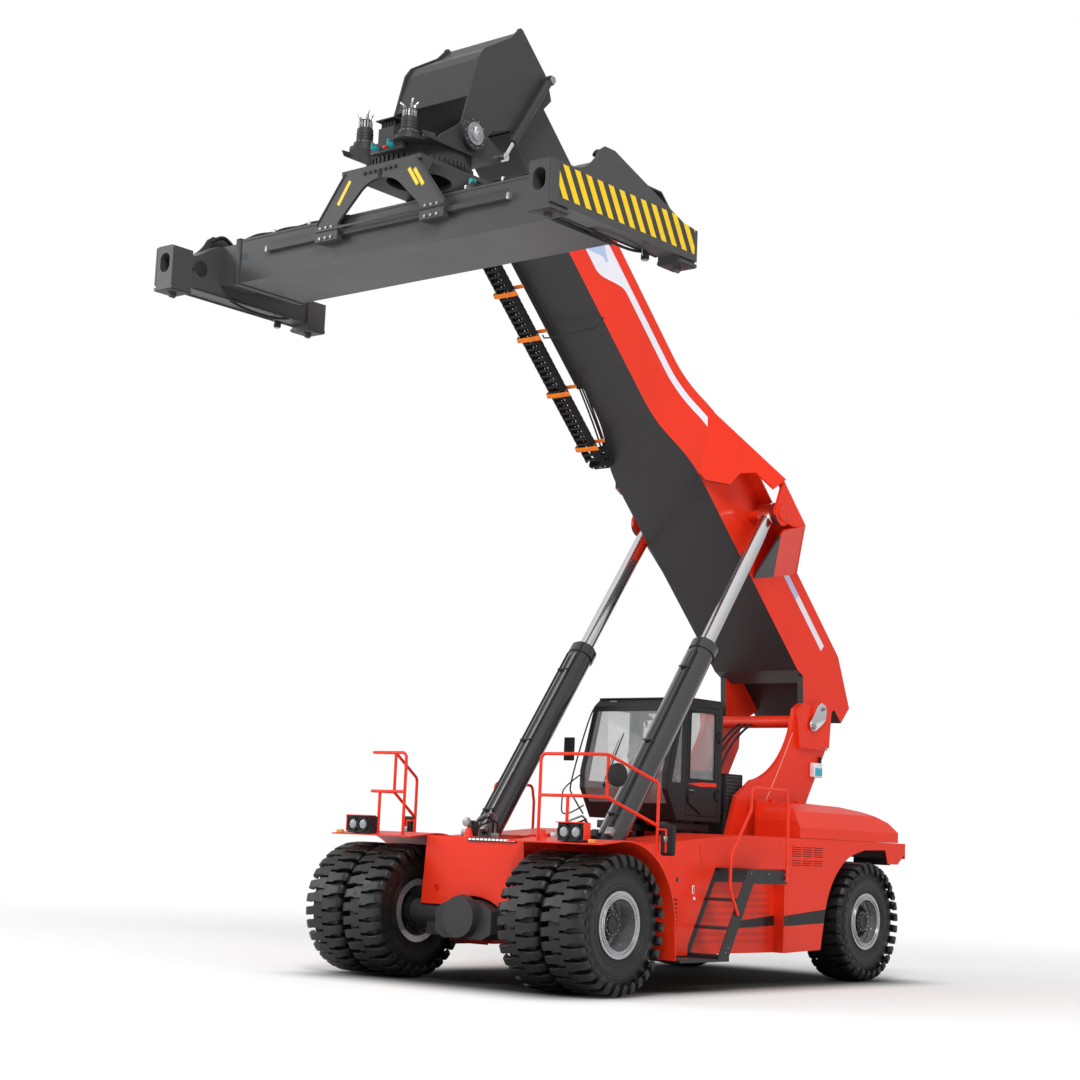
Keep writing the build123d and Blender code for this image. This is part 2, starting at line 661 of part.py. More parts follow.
with BuildPart() as tail_body:
    # Side skirts with the wheel arches, the engine deck between the hood covers, and the tail wall.
    for sign in (1, -1):
        with BuildSketch(side_plane(sign * (body_half_width - panel))):
            with BuildLine():
                Polyline(
                    (tail_front, sill_height), (wheelbase - 1120, arch_low),
                    (wheelbase - 1020, arch_low + 470))
                ThreePointArc(
                    (wheelbase - 1020, arch_low + 470), (wheelbase - 760, arch_low + 970),
                    (wheelbase - 290, arch_low + 1250))
                Polyline(
                    (wheelbase - 290, arch_low + 1250), (wheelbase - 50, arch_low + 1305),
                    (wheelbase + 510, arch_low + 1320), (wheelbase + 590, tail_wall_low - 80),
                    (hood_rear, tail_wall_low - 80), (tail_station - 20, tail_wall_low + 60),
                    (tail_station, belt_height), (tail_front, belt_height), (tail_front, sill_height))
            make_face()
        extrude(amount=sign * panel)
        with BuildSketch(level_plane(belt_height - panel)):
            with BuildLine():
                Polyline(
                    (sign * hood_hinge_x, tail_front), (sign * (body_half_width - panel), tail_front),
                    (sign * (body_half_width - panel), tail_station - panel),
                    (sign * hood_hinge_x, tail_station - panel), close=True)
            make_face()
            with Locations((sign * (hood_hinge_x + body_half_width) / 2, (hood_front + hood_rear) / 2)):
                Rectangle(
                    body_half_width - hood_hinge_x - 180, hood_rear - hood_front - 240, mode=Mode.SUBTRACT)
        extrude(amount=panel)
        with BuildSketch(cross_plane(tail_front + panel)):
            with Locations(
                    (
                        sign * (body_inner_x + body_half_width - panel) / 2,
                        (sill_height + belt_height - panel) / 2)):
                Rectangle(body_half_width - panel - body_inner_x, belt_height - panel - sill_height)
        extrude(amount=panel)
        with BuildSketch(side_plane(sign * (hood_hinge_x - spine_wall))):
            with BuildLine():
                Polyline(
                    (hood_front, belt_height - panel), (tail_station - 2, belt_height - panel),
                    (tail_station - 2, belt_height), (hood_rear + 60, hood_tail_height),
                    (hood_bend, hood_hinge_z - 40), (hood_fall, hood_hinge_z), (hood_front, hood_hinge_z),
                    close=True)
            make_face()
        extrude(amount=sign * spine_wall)
        # Hinge pins of the hood cover along the top of the spine wall.
        for station in hood_hinge_stations:
            with BuildSketch(cross_plane(station + hood_knuckle / 2 + 30)):
                with Locations((sign * hood_axis_x, hood_axis_z)):
                    Circle(hood_pin_radius)
            extrude(amount=hood_knuckle + 60)
            for end in (station - hood_knuckle / 2 - 2, station + hood_knuckle / 2 + 30):
                with BuildSketch(cross_plane(end)):
                    with Locations((sign * (hood_axis_x - 7), hood_axis_z - 3)):
                        Rectangle(24, 24)
                extrude(amount=28)
    # Engine deck between the two spine walls, behind the tower.
    with BuildSketch(side_plane(-hood_hinge_x + spine_wall)):
        with BuildLine():
            Polyline(
                (engine_deck_front, hood_hinge_z - 54), (hood_rear + 60, hood_tail_height),
                (tail_station - panel, belt_height), (tail_station - panel, tail_wall_low),
                (tail_station - 2 * panel, tail_wall_low), (tail_station - 2 * panel, belt_height - panel),
                (hood_rear + 50, hood_tail_height - 20), (engine_deck_front, hood_hinge_z - 74), close=True)
        make_face()
    extrude(amount=2 * (hood_hinge_x - spine_wall))
    with BuildSketch(cross_plane(tail_station)):
        with Locations((0, (tail_wall_low + belt_height) / 2)):
            Rectangle(2 * body_half_width, belt_height - tail_wall_low)
    extrude(amount=panel)
tail_body.part.label = "tail_body"
export_step(tail_body.part, "parts/tail_body.step")

# Hood covers: one over each side of the engine bay, hinged along its inner edge.
for side_name, sign in (("left", 1), ("right", -1)):
    with BuildPart() as hood:
        with BuildSketch(cross_plane(hood_rear)):
            with BuildLine():
                Polyline(
                    (sign * (hood_hinge_x + 5), belt_height + 5), (sign * body_half_width, belt_height + 5),
                    (sign * body_half_width, hood_shoulder_low),
                    (sign * (body_half_width - 120), hood_hinge_z - 130),
                    (sign * (body_half_width - 330), hood_hinge_z - 30),
                    (sign * (hood_hinge_x + 5), hood_hinge_z),
                    close=True)
            make_face()
        extrude(amount=hood_rear - hood_front)
        # Rounded front and falling tail.
        with BuildSketch(side_plane(-2000)):
            with BuildLine():
                Polyline(
                    (hood_front - 5, belt_height - 60), (hood_rear + 5, belt_height - 60),
                    (hood_rear + 5, hood_shoulder_low), (hood_rear - 150, hood_tail_height),
                    (hood_bend, hood_hinge_z - 80), (hood_fall, hood_hinge_z),
                    (hood_front + 260, hood_hinge_z - 20))
                ThreePointArc(
                    (hood_front + 260, hood_hinge_z - 20), (hood_front + 70, hood_hinge_z - 120),
                    (hood_front - 5, 2050))
                Line((hood_front - 5, 2050), (hood_front - 5, belt_height - 60))
            make_face()
        extrude(amount=4000, mode=Mode.INTERSECT)
        # Open underneath.
        with BuildSketch(cross_plane(hood_rear - 20)):
            with BuildLine():
                Polyline(
                    (sign * (hood_hinge_x + 30), belt_height - 60),
                    (sign * (body_half_width - 20), belt_height - 60),
                    (sign * (body_half_width - 20), hood_shoulder_low - 20),
                    (sign * (body_half_width - 135), hood_hinge_z - 180),
                    (sign * (body_half_width - 340), hood_hinge_z - 120),
                    (sign * (hood_hinge_x + 30), hood_hinge_z - 105), close=True)
            make_face()
        extrude(amount=hood_rear - hood_front - 300, mode=Mode.SUBTRACT)
        for station in hood_hinge_stations:
            with BuildSketch(cross_plane(station + hood_knuckle / 2)):
                with Locations((sign * hood_axis_x, hood_axis_z)):
                    Circle(11)
                with Locations((sign * (hood_axis_x + 15), hood_axis_z - 16)):
                    Rectangle(18, 50)
                with Locations((sign * hood_axis_x, hood_axis_z)):
                    Circle(hood_pin_radius + seat_gap, mode=Mode.SUBTRACT)
            extrude(amount=hood_knuckle)
    hood.part.label = f"{side_name}_hood_cover"
    export_step(hood.part, f"parts/{side_name}_hood_cover.step")

counterweight_neck_half = 440
with BuildPart() as counterweight:
    with BuildSketch(side_plane(-body_half_width + 40)):
        with BuildLine():
            Polyline(
                (hood_rear - 200, tail_wall_low), (tail_station - 30, tail_wall_low),
                (tail_station - 30, belt_height - panel - seat_gap),
                (hood_rear - 200, belt_height - panel - seat_gap), close=True)
        make_face()
    extrude(amount=2 * body_half_width - 80)
    with BuildSketch(side_plane(-counterweight_neck_half)):
        with BuildLine():
            Polyline(
                (rear_frame_end + seat_gap, 900), (tail_station - 60, 900),
                (tail_station - 30, tail_wall_low),
                (rear_frame_end + seat_gap, tail_wall_low), close=True)
        make_face()
    extrude(amount=2 * counterweight_neck_half)
counterweight.part.label = "counterweight"
export_step(counterweight.part, "parts/counterweight.step")

engine_width = 820
engine_length = 1500
engine_height = 580
engine_station = wheelbase - 850
engine_top = beam_top + member_plate + engine_height
with BuildPart() as engine_block:
    with BuildSketch(level_plane(beam_top + member_plate)):
        with Locations((0, engine_station)):
            Rectangle(engine_width, engine_length)
    extrude(amount=engine_height)
engine_block.part.label = "engine_block"
export_step(engine_block.part, "parts/engine_block.step")

fender_front = -430
fender_inner_x = front_plate_half
fender_outer_x = front_outer_face + 5
fender_sheet = 14
with BuildPart() as front_fenders:
    # Platform over each pair of front tyres, running down behind them as a mudguard.
    for sign in (1, -1):
        with BuildSketch(side_plane(sign * fender_inner_x)):
            with BuildLine():
                Polyline((fender_front, deck_height - 35), (-100, deck_height))
                ThreePointArc((-100, deck_height), (640, 1500), (1010, 700))
                Polyline((1010, 700), (1040, 385), (1052, 385), (1024, 700))
                ThreePointArc(
                    (1024, 700), (650, 1500 + fender_sheet - 1), (-100, deck_height + fender_sheet))
                Polyline(
                    (-100, deck_height + fender_sheet), (fender_front, deck_height + fender_sheet - 35),
                    (fender_front, deck_height - 35))
            make_face()
        extrude(amount=sign * (fender_outer_x - fender_inner_x))
        with BuildSketch(level_plane(1130)):
            with Locations((sign * 1000, 900)):
                Rectangle(500, 620)
        extrude(amount=770, mode=Mode.SUBTRACT)
front_fenders.part.label = "front_fenders"
export_step(front_fenders.part, "parts/front_fenders.step")

stair_bottom = 420
stair_inner_x = body_half_width - recess_depth + seat_gap
stair_outer_x = 2030
stair_side = 12
stair_foot = 1980
tread_plate = 25
landing_height = 1440
running_board_height = 370
with BuildPart() as access_stairs:
    for sign in (1, -1):
        for x in (stair_inner_x, stair_outer_x - stair_side):
            with BuildSketch(side_plane(sign * x)):
                with BuildLine():
                    Polyline(
                        (stair_foot, stair_bottom), (stair_foot + 220, stair_bottom),
                        (stair_foot + 700, landing_height - 170), (stair_foot + 1440, landing_height - 170),
                        (stair_foot + 1440, landing_height), (stair_foot + 580, landing_height), close=True)
                make_face()
            extrude(amount=sign * stair_side)
        with BuildSketch(side_plane(sign * stair_inner_x)):
            with Locations((stair_foot + 270, 740), (stair_foot + 450, 1070)):
                Rectangle(230, tread_plate)
            with Locations((stair_foot + 1020, landing_height - 15)):
                Rectangle(840, tread_plate)
            with Locations((stair_foot - 280, running_board_height)):
                Rectangle(1000, 30)
            with Locations((stair_foot + 110, running_board_height + 30)):
                Rectangle(220, 60)
        extrude(amount=sign * (stair_outer_x - stair_inner_x))
access_stairs.part.label = "access_stairs"
export_step(access_stairs.part, "parts/access_stairs.step")

rail_radius = 19
guard_top = 2657
guard_middle = 2190
guard_inner_x = 1050
guard_outer_x = 1630
guard_front = -260
guard_heel_x = 1900
guard_heel = 860
guard_foot = deck_height - 0.7
heel_foot = 1317
hoop_x = stair_outer_x + rail_radius + seat_gap


def rail_point(x, station, z):
    return Vector(x, front_axle_y + station, z)


with BuildPart() as handrails:
    # Bent tube with rounded corners: a guard with a middle rail on each front platform, hoops at the stairs.
    for sign in (1, -1):
        runs = (
            [(guard_inner_x, guard_front, guard_foot), (guard_inner_x, guard_front, guard_top),
             (guard_outer_x, guard_front, guard_top), (guard_outer_x + 30, 200, guard_top + 20),
             (guard_heel_x, guard_heel, guard_top - 265), (guard_heel_x, guard_heel, heel_foot)],
            [(guard_inner_x, guard_front, guard_middle), (guard_outer_x, guard_front, guard_middle),
             (guard_outer_x + 30, 200, guard_middle + 5), (guard_heel_x, guard_heel, guard_middle - 290)],
            [
                (guard_outer_x - 170, guard_front, guard_foot),
                (guard_outer_x - 170, guard_front, guard_middle)],
            [(guard_outer_x + 30, 200, guard_middle + 5), (guard_outer_x + 30, 200, guard_top + 10)],
            [(hoop_x, 2330, 900), (hoop_x, 2150, 1200), (hoop_x, 2150, 1600), (hoop_x, 2560, 2150),
             (hoop_x, 2560, 2420), (hoop_x, 3330, 2420), (hoop_x, 3380, 2200), (hoop_x, 3380, 1300)],
        )
        for run in runs:
            points = [rail_point(sign * x, along, z) for x, along, z in run]
            with BuildLine() as path:
                if len(points) > 2:
                    FilletPolyline(*points, radius=70)
                else:
                    Line(*points)
            with BuildSketch(Plane(origin=points[0], z_dir=points[1] - points[0])):
                Circle(rail_radius)
            sweep(path=path.line)
handrails.part.label = "handrails"
export_step(handrails.part, "parts/handrails.step")

lamp_x = 1640
lamp_station = -350
with BuildPart() as work_lamps:
    # Headlamp pairs on the front platforms.
    for sign in (1, -1):
        with BuildSketch(level_plane(deck_height - 5.2)):
            with Locations((sign * lamp_x, lamp_station)):
                Rectangle(360, 130)
        extrude(amount=200)
work_lamps.part.label = "work_lamps"
export_step(work_lamps.part, "parts/work_lamps.step")

# ================================================================ cab
cab_wall = 45
glass = 8
door_rear = cab_rear - 90
door_front = cab_front + 410
door_gap = 8
door_sill = cab_floor + 60
door_head = cab_roof - 90
column_station = cab_front + 345
seat_station = cab_rear - 500
seat_base = 420
window_sill = cab_floor + 470
window_head = cab_roof - 130
rear_window_height = 760


def cab_profile(inset):
    """Side outline of the cab, drawn in by an inset."""
    return [
        (cab_front + 230 + inset, cab_floor + inset), (cab_rear - inset, cab_floor + inset),
        (cab_rear - inset, cab_roof - inset),
        (cab_front + 380 + inset, cab_roof - inset), (cab_front + 250 + inset, cab_roof - 100 - inset / 2),
        (cab_front + inset, cab_floor + 600), (cab_front + inset, cab_floor + 380)]


right_window = [
    (cab_front + 130, window_sill), (cab_rear - 170, window_sill), (cab_rear - 170, window_head),
    (cab_front + 370, window_head)]
quarter_light = [
    (cab_front + 100, window_sill), (cab_front + 310, window_sill), (cab_front + 310, window_head - 70)]
hinge_x = cab_half_width + 18
hinge_station = door_rear + 6
hinge_pin_radius = 9
hinge_heights = (cab_floor + 290, cab_floor + 1040)
knuckle_length = 100

with BuildPart() as cab_shell:
    with BuildSketch(side_plane(-cab_half_width)):
        with BuildLine():
            Polyline(*cab_profile(0), close=True)
        make_face()
    extrude(amount=2 * cab_half_width)
    with BuildSketch(side_plane(-cab_half_width + cab_wall)):
        with BuildLine():
            Polyline(*cab_profile(cab_wall), close=True)
        make_face()
    extrude(amount=2 * (cab_half_width - cab_wall), mode=Mode.SUBTRACT)
    # Windscreen opening, side windows, rear window and the doorway.
    with BuildSketch(cross_plane(cab_front + 900)):
        with Locations((0, cab_floor + 790)):
            Rectangle(2 * (cab_half_width - 80), 1180)
    extrude(amount=1200, mode=Mode.SUBTRACT)
    with BuildSketch(cross_plane(cab_rear + 50)):
        with Locations((0, cab_floor + 1040)):
            Rectangle(2 * (cab_half_width - 110), rear_window_height)
    extrude(amount=150, mode=Mode.SUBTRACT)
    with BuildSketch(side_plane(-cab_half_width - 20)):
        with BuildLine():
            Polyline(*right_window, close=True)
        make_face()
    extrude(amount=150, mode=Mode.SUBTRACT)
    with BuildSketch(side_plane(cab_half_width - 100)):
        with BuildLine():
            Polyline(
                (door_front, door_sill), (door_rear, door_sill), (door_rear, door_head),
                (door_front, door_head),
                close=True)
        make_face()
        with BuildLine():
            Polyline(*quarter_light, close=True)
        make_face()
    extrude(amount=150, mode=Mode.SUBTRACT)
    # Feet that ride on the slide rails.
    foot_low = deck_height + rail_height + seat_gap
    with BuildSketch(level_plane(foot_low)):
        with Locations(
                (-rail_x, cab_front + 430), (-rail_x, cab_rear - 170), (rail_x, cab_front + 430),
                (rail_x, cab_rear - 170)):
            Rectangle(rail_width - 10, 160)
    extrude(amount=cab_floor + 1 - foot_low)
    # Door hinge pins, each between two small brackets behind the doorway.
    for height in hinge_heights:
        with BuildSketch(level_plane(height - 20)):
            with Locations((hinge_x, hinge_station)):
                Circle(hinge_pin_radius)
        extrude(amount=knuckle_length + 40)
        for low in (height - 20, height + knuckle_length + 2):
            with BuildSketch(level_plane(low)):
                with Locations((hinge_x - 6, hinge_station + 6)):
                    Rectangle(44, 22)
            extrude(amount=18)
cab_shell.part.label = "cab_shell"
export_step(cab_shell.part, "parts/cab_shell.step")

with BuildPart() as cab_glass:
    # Folded windscreen, right window, rear window and the left front quarter light.
    with BuildSketch(side_plane(cab_half_width - 80 - seat_gap)):
        with BuildLine():
            Polyline(
                (cab_front + 231, cab_floor + 1379.7), (cab_front + 2, cab_floor + 600),
                (cab_front + 2, cab_floor + 380),
                (cab_front + 110, cab_floor + 200.3), (cab_front + 110 + glass, cab_floor + 200.3),
                (cab_front + 2 + glass, cab_floor + 382), (cab_front + 2 + glass, cab_floor + 598),
                (cab_front + 231 + glass, cab_floor + 1379.7), close=True)
        make_face()
    extrude(amount=-2 * (cab_half_width - 80 - seat_gap))
    with BuildSketch(cross_plane(cab_rear - 8)):
        with Locations((0, cab_floor + 1040)):
            Rectangle(2 * (cab_half_width - 110 - seat_gap), rear_window_height - 2 * seat_gap)
    extrude(amount=glass)
    with BuildSketch(side_plane(-cab_half_width + 8)):
        with BuildLine():
            Polyline(*right_window, close=True)
        make_face()
        offset(amount=-seat_gap, mode=Mode.REPLACE)
    extrude(amount=glass)
    with BuildSketch(side_plane(cab_half_width - 16)):
        with BuildLine():
            Polyline(*quarter_light, close=True)
        make_face()
        offset(amount=-seat_gap, mode=Mode.REPLACE)
    extrude(amount=glass)
cab_glass.part.label = "cab_glass"
export_step(cab_glass.part, "parts/cab_glass.step")

with BuildPart() as cab_seat:
    with BuildSketch(level_plane(cab_floor + seat_base)):
        with Locations((0, seat_station)):
            RectangleRounded(500, 480, 60)
    extrude(amount=120)
    with BuildSketch(cross_plane(seat_station + 270)):
        with Locations((0, cab_floor + 850)):
            RectangleRounded(480, 620, 80)
    extrude(amount=110)
    with BuildSketch(level_plane(cab_floor + cab_wall)):
        with Locations((0, seat_station - 40)):
            Rectangle(360, 360)
    extrude(amount=seat_base - cab_wall)
cab_seat.part.label = "cab_seat"
export_step(cab_seat.part, "parts/cab_seat.step")

with BuildPart() as cab_controls:
    # Steering column with its wheel, on the floor ahead of the seat.
    column = Plane(
        origin=rail_point(0, column_station, cab_floor + cab_wall + 40), x_dir=(1, 0, 0), z_dir=(0, 0.08, 1))
    with BuildSketch(column):
        Circle(40)
    extrude(amount=720)
    with BuildSketch(level_plane(cab_floor + cab_wall)):
        with Locations((0, column_station)):
            Circle(60)
    extrude(amount=70)
    with BuildSketch(column.offset(705)):
        Circle(190)
        Circle(165, mode=Mode.SUBTRACT)
        Rectangle(345, 34)
    extrude(amount=25)
cab_controls.part.label = "cab_controls"
export_step(cab_controls.part, "parts/cab_controls.step")

with BuildPart() as cab_door:
    with BuildSketch(side_plane(cab_half_width - 40)):
        with Locations(((door_front + door_rear) / 2, (door_sill + door_head) / 2)):
            Rectangle(door_rear - door_front - 2 * door_gap, door_head - door_sill - 2 * door_gap)
        with Locations(((door_front + door_rear) / 2, door_sill + 900)):
            Rectangle(door_rear - door_front - 140, 860, mode=Mode.SUBTRACT)
    extrude(amount=40)
    for height in hinge_heights:
        with BuildSketch(level_plane(height)):
            with Locations((hinge_x, hinge_station)):
                Circle(16)
            with Locations((hinge_x - 8, hinge_station - 32)):
                Rectangle(20, 60)
            with Locations((hinge_x, hinge_station)):
                Circle(hinge_pin_radius + seat_gap, mode=Mode.SUBTRACT)
        extrude(amount=knuckle_length)
cab_door.part.label = "cab_door"
export_step(cab_door.part, "parts/cab_door.step")


# ================================================================ boom
boom_tail = -655
inner_half = 370
inner_low = boom_bottom + boom_wall + slide_gap
inner_high = boom_top - boom_wall - 60
inner_wall = 12
inner_rear = 1850
nose_rear = 9200
damper_eye_station = 9440
damper_eye_rise = 1000
damper_pin_radius = 35
bracket_outer_x = 1200
bracket_plate = 25
relief_inner_x = 770
lug_width = 90
web_top = 1090
bracket_top = 1070
pin_stub_radius = 65
ear_bore = 26


def boom_outline(inset, mouth):
    """Side outline of the outer boom's box."""
    return [
        (mouth, boom_bottom + inset), (644, boom_bottom + inset), (330, 285 + inset), (140, 515 + inset),
        (boom_tail + inset, 517 + inset), (boom_tail + inset, 830 - inset / 2), (64, boom_top - inset),
        (mouth, boom_top - inset)]


def boom_plan(inset, mouth):
    """Plan outline of one half: wide at the foot, drawn in by two arcs to the narrow front."""
    wide = boom_rear_half - inset
    narrow = boom_front_half - inset
    middle = (flare_front + flare_rear) / 2
    with BuildLine() as half:
        Line((0, boom_tail - 100), (wide, boom_tail - 100))
        Line((wide, boom_tail - 100), (wide, flare_rear))
        TangentArc((wide, flare_rear), ((wide + narrow) / 2, middle), tangent=(0, 1))
        TangentArc((narrow, flare_front), ((wide + narrow) / 2, middle), tangent=(0, -1))
        Line((narrow, flare_front), (narrow, mouth))
        Line((narrow, mouth), (0, mouth))
        mirror(about=Plane.YZ)
    return half.line


with BuildPart() as boom_hollow:
    with BuildSketch(boom_side(0)):
        with BuildLine():
            Polyline(*boom_outline(boom_wall, boom_mouth + 60), close=True)
        make_face()
    extrude(amount=boom_rear_half, both=True)
    with BuildSketch(boom_level(0)):
        with BuildLine():
            add(boom_plan(boom_wall, boom_mouth + 60))
        make_face()
    extrude(amount=1400, mode=Mode.INTERSECT)

with BuildPart() as outer_boom:
    with BuildSketch(boom_side(0)):
        with BuildLine():
            Polyline(*boom_outline(0, boom_mouth), close=True)
        make_face()
    extrude(amount=boom_rear_half, both=True)
    with BuildSketch(boom_level(0)):
        with BuildLine():
            add(boom_plan(0, boom_mouth))
        make_face()
    extrude(amount=1400, mode=Mode.INTERSECT)
    add(boom_hollow.part, mode=Mode.SUBTRACT)
    # Foot lugs, bored for the pivot pins.
    for edge in (boom_rear_half, -boom_rear_half + lug_width):
        with BuildSketch(boom_side(edge)):
            with BuildLine():
                Polyline((-420, 560), (-150, -90))
                ThreePointArc((-150, -90), (0, -175), (150, -90))
                Polyline((150, -90), (520, 260), (420, 560), (-420, 560))
            make_face()
        extrude(amount=lug_width)
    with BuildSketch(boom_side(boom_rear_half + 10)):
        Circle(pivot_pin_radius + running_gap)
    extrude(amount=2 * boom_rear_half + 20, mode=Mode.SUBTRACT)
    # Cylinder brackets: cheek, slanting webs, and a roof with an access slot over the rod's eye.
    for sign in (1, -1):
        cheek = sign * bracket_outer_x if sign > 0 else sign * bracket_outer_x + 40
        with BuildSketch(boom_side(cheek)):
            with BuildLine():
                Polyline(
                    (3200, bracket_top), (2440, bracket_top), (2600, 860), (2740, cylinder_pin_rise - 10))
                ThreePointArc(
                    (2740, cylinder_pin_rise - 10), (cylinder_pin_station, cylinder_pin_rise - 175),
                    (3085, cylinder_pin_rise - 10))
                Line((3085, cylinder_pin_rise - 10), (3200, bracket_top))
            make_face()
        extrude(amount=40)
        with BuildSketch(boom_level(bracket_top)):
            with BuildLine():
                Polyline(
                    (-sign * 500, 4500), (-sign * bracket_outer_x, 3200), (-sign * bracket_outer_x, 2440),
                    (-sign * (boom_rear_half - 5), 1600), (-sign * (boom_rear_half - 5), 3900),
                    (-sign * 500, 4500))
            make_face()
            with Locations((-sign * cylinder_x, cylinder_pin_station + 130)):
                Rectangle(230, 660, mode=Mode.SUBTRACT)
        extrude(amount=bracket_plate)

        front_web = (
            (540, 4600, web_top), (bracket_outer_x - 5, 3200, web_top), (bracket_outer_x - 40, 3275, 750),
            (boom_rear_half - 4, flare_rear, boom_bottom + 10), (600, 4300, boom_bottom + 50))
        rear_web = (
            (bracket_outer_x - 5, 2450, web_top), (boom_rear_half - 4, 1600, web_top),
            (boom_rear_half - 4, 2270, boom_bottom + 30), (bracket_outer_x - 30, 2690, 660))
        for corners in (front_web, rear_web):
            web = [
                boom_pivot + Vector(sign * x, 0, 0) + boom_along * station + boom_up * rise
                for x, station, rise in corners]
            normal = (web[2] - web[0]).cross(web[3] - web[1]).normalized()
            frame = Plane(origin=web[0], x_dir=(web[1] - web[0]).normalized(), z_dir=normal)
            flat = [frame.to_local_coords(point) for point in web]
            with BuildSketch(frame):
                with BuildLine():
                    Polyline(*[(point.X, point.Y) for point in flat], close=True)
                make_face()
            extrude(amount=bracket_plate / 2, both=True)
        # Relief in the front web for the barrel's head when the boom lies level.
        with BuildSketch(boom_side(sign * relief_inner_x)):
            with BuildLine():
                Polyline((3150, 340), (3700, 340), (3700, 640), (3560, 830), (3150, 830), close=True)
            make_face()
        extrude(amount=-sign * (bracket_outer_x - 5 - relief_inner_x), mode=Mode.SUBTRACT)
        # Pin stubs each side of the eye and the round pin plate outside.
        stub_length = bracket_outer_x - cylinder_x - eye_half - 10
        for start, length, radius in (
                (boom_rear_half - 10, cylinder_x - eye_half - boom_rear_half, pin_stub_radius),
                (cylinder_x + eye_half + 10, stub_length, pin_stub_radius),
                (bracket_outer_x, 22, pin_stub_radius + 50)):
            with BuildSketch(boom_side(sign * start)):
                with Locations((cylinder_pin_station, cylinder_pin_rise)):
                    Circle(radius)
            extrude(amount=-sign * length)
    # Lifting ears on the tail.
    for edge in (600, -560):
        with BuildSketch(boom_side(edge)):
            with BuildLine():
                Polyline((-150, 1000), (150, 1100), (150, 1200), (60, 1240), (-150, 1140), close=True)
            make_face()
            with Locations((30, 1180)):
                Circle(ear_bore, mode=Mode.SUBTRACT)
        extrude(amount=40)
    # Guide pads inside the mouth, above and below the inner boom.
    for rise, thick in (
             (boom_bottom + boom_wall, slide_gap - running_gap),
            (inner_high + running_gap, 60 - running_gap)):
        with BuildSketch(boom_level(rise)):
            with Locations((-250, boom_mouth - 160), (250, boom_mouth - 160)):
                Rectangle(180, 300)
        extrude(amount=thick)
    for sign in (1, -1):
        with BuildSketch(boom_side(sign * (boom_front_half - boom_wall))):
            with Locations((boom_mouth - 160, 430), (boom_mouth - 160, 850)):
                Rectangle(300, 180)
        extrude(amount=sign * (boom_front_half - boom_wall - inner_half - running_gap))
outer_boom.part.label = "outer_boom"
export_step(outer_boom.part, "parts/outer_boom.step")

with BuildPart() as inner_boom:
    with BuildSketch(boom_side(-inner_half)):
        with BuildLine():
            Polyline(
                (inner_rear, inner_low), (nose_rear + 40, inner_low), (nose_rear + 40, inner_high),
                (inner_rear, inner_high), close=True)
        make_face()
    extrude(amount=-2 * inner_half)
    with BuildSketch(boom_side(-inner_half + inner_wall)):
        with BuildLine():
            Polyline(
                (inner_rear - 5, inner_low + inner_wall), (nose_rear + 60, inner_low + inner_wall),
                (nose_rear + 60, inner_high - inner_wall), (inner_rear - 5, inner_high - inner_wall),
                close=True)
        make_face()
    extrude(amount=-2 * (inner_half - inner_wall), mode=Mode.SUBTRACT)
    # Gooseneck nose: two deep side plates, a bulkhead behind and a cover round the front.
    for x in (nose_half, -nose_half + 30):
        with BuildSketch(boom_side(x)):
            with BuildLine():
                Polyline((nose_rear, inner_low), (nose_rear, 960), (9430, 1080), (9530, 1085), (10090, 1075))
                ThreePointArc((10090, 1075), (10150, 1050), (10150, 990))
                Polyline((10150, 990), (10150, 820), (10290, 300), (10270, 140), (9846, -660))
                ThreePointArc((9846, -660), (head_pin_station, head_pin_drop - 180), (9488, -660))
                Polyline((9488, -660), (9480, -250), (nose_rear, inner_low))
            make_face()
            with Locations((head_pin_station, head_pin_drop)):
                Circle(80 + running_gap, mode=Mode.SUBTRACT)
        extrude(amount=30)
    with BuildSketch(boom_side(-nose_half + 15)):
        with BuildLine():
            Polyline(
                (nose_rear, inner_low - 30), (nose_rear + 30, inner_low - 30), (nose_rear + 30, 960),
                (nose_rear, 960), close=True)
        make_face()
    extrude(amount=-2 * (nose_half - 15))
    with BuildSketch(boom_side(-nose_half + 15)):
        with BuildLine():
            Polyline(
                (9530, 1060), (10110, 1050), (10120, 820), (10262, 300), (10240, 150), (10010, -340),
                (9990, -330), (10215, 155),
                (10236, 300), (10094, 815), (10084, 1025), (9530, 1035), close=True)
        make_face()
    extrude(amount=-2 * (nose_half - 15))
    # Eyes that carry the damper cylinders.
    for x in (nose_half + 130, -nose_half):
        with BuildSketch(boom_side(x)):
            with Locations((damper_eye_station, damper_eye_rise)):
                Circle(damper_pin_radius)
        extrude(amount=130)
inner_boom.part.label = "inner_boom"
export_step(inner_boom.part, "parts/inner_boom.step")

chain_links = 18
chain_pitch = 125
chain_front = 5600
tray_rise = 300
tray_plate = 20
tray_width = 199
with BuildPart() as energy_chain:
    # Hose chain in its tray along the right side of the outer boom.
    for index in range(chain_links):
        with BuildSketch(boom_level(tray_rise + tray_plate)):
            with Locations((boom_front_half + 115, chain_front + chain_pitch * index)):
                Rectangle(tray_width - 49, chain_pitch - 20)
        extrude(amount=130)
    with BuildSketch(boom_level(tray_rise)):
        with Locations(
                (boom_front_half + tray_width / 2 + 0.5, chain_front + (chain_links - 1) * chain_pitch / 2)):
            Rectangle(tray_width, chain_links * chain_pitch + 50)
    extrude(amount=tray_plate)
energy_chain.part.label = "energy_chain"
export_step(energy_chain.part, "parts/energy_chain.step")

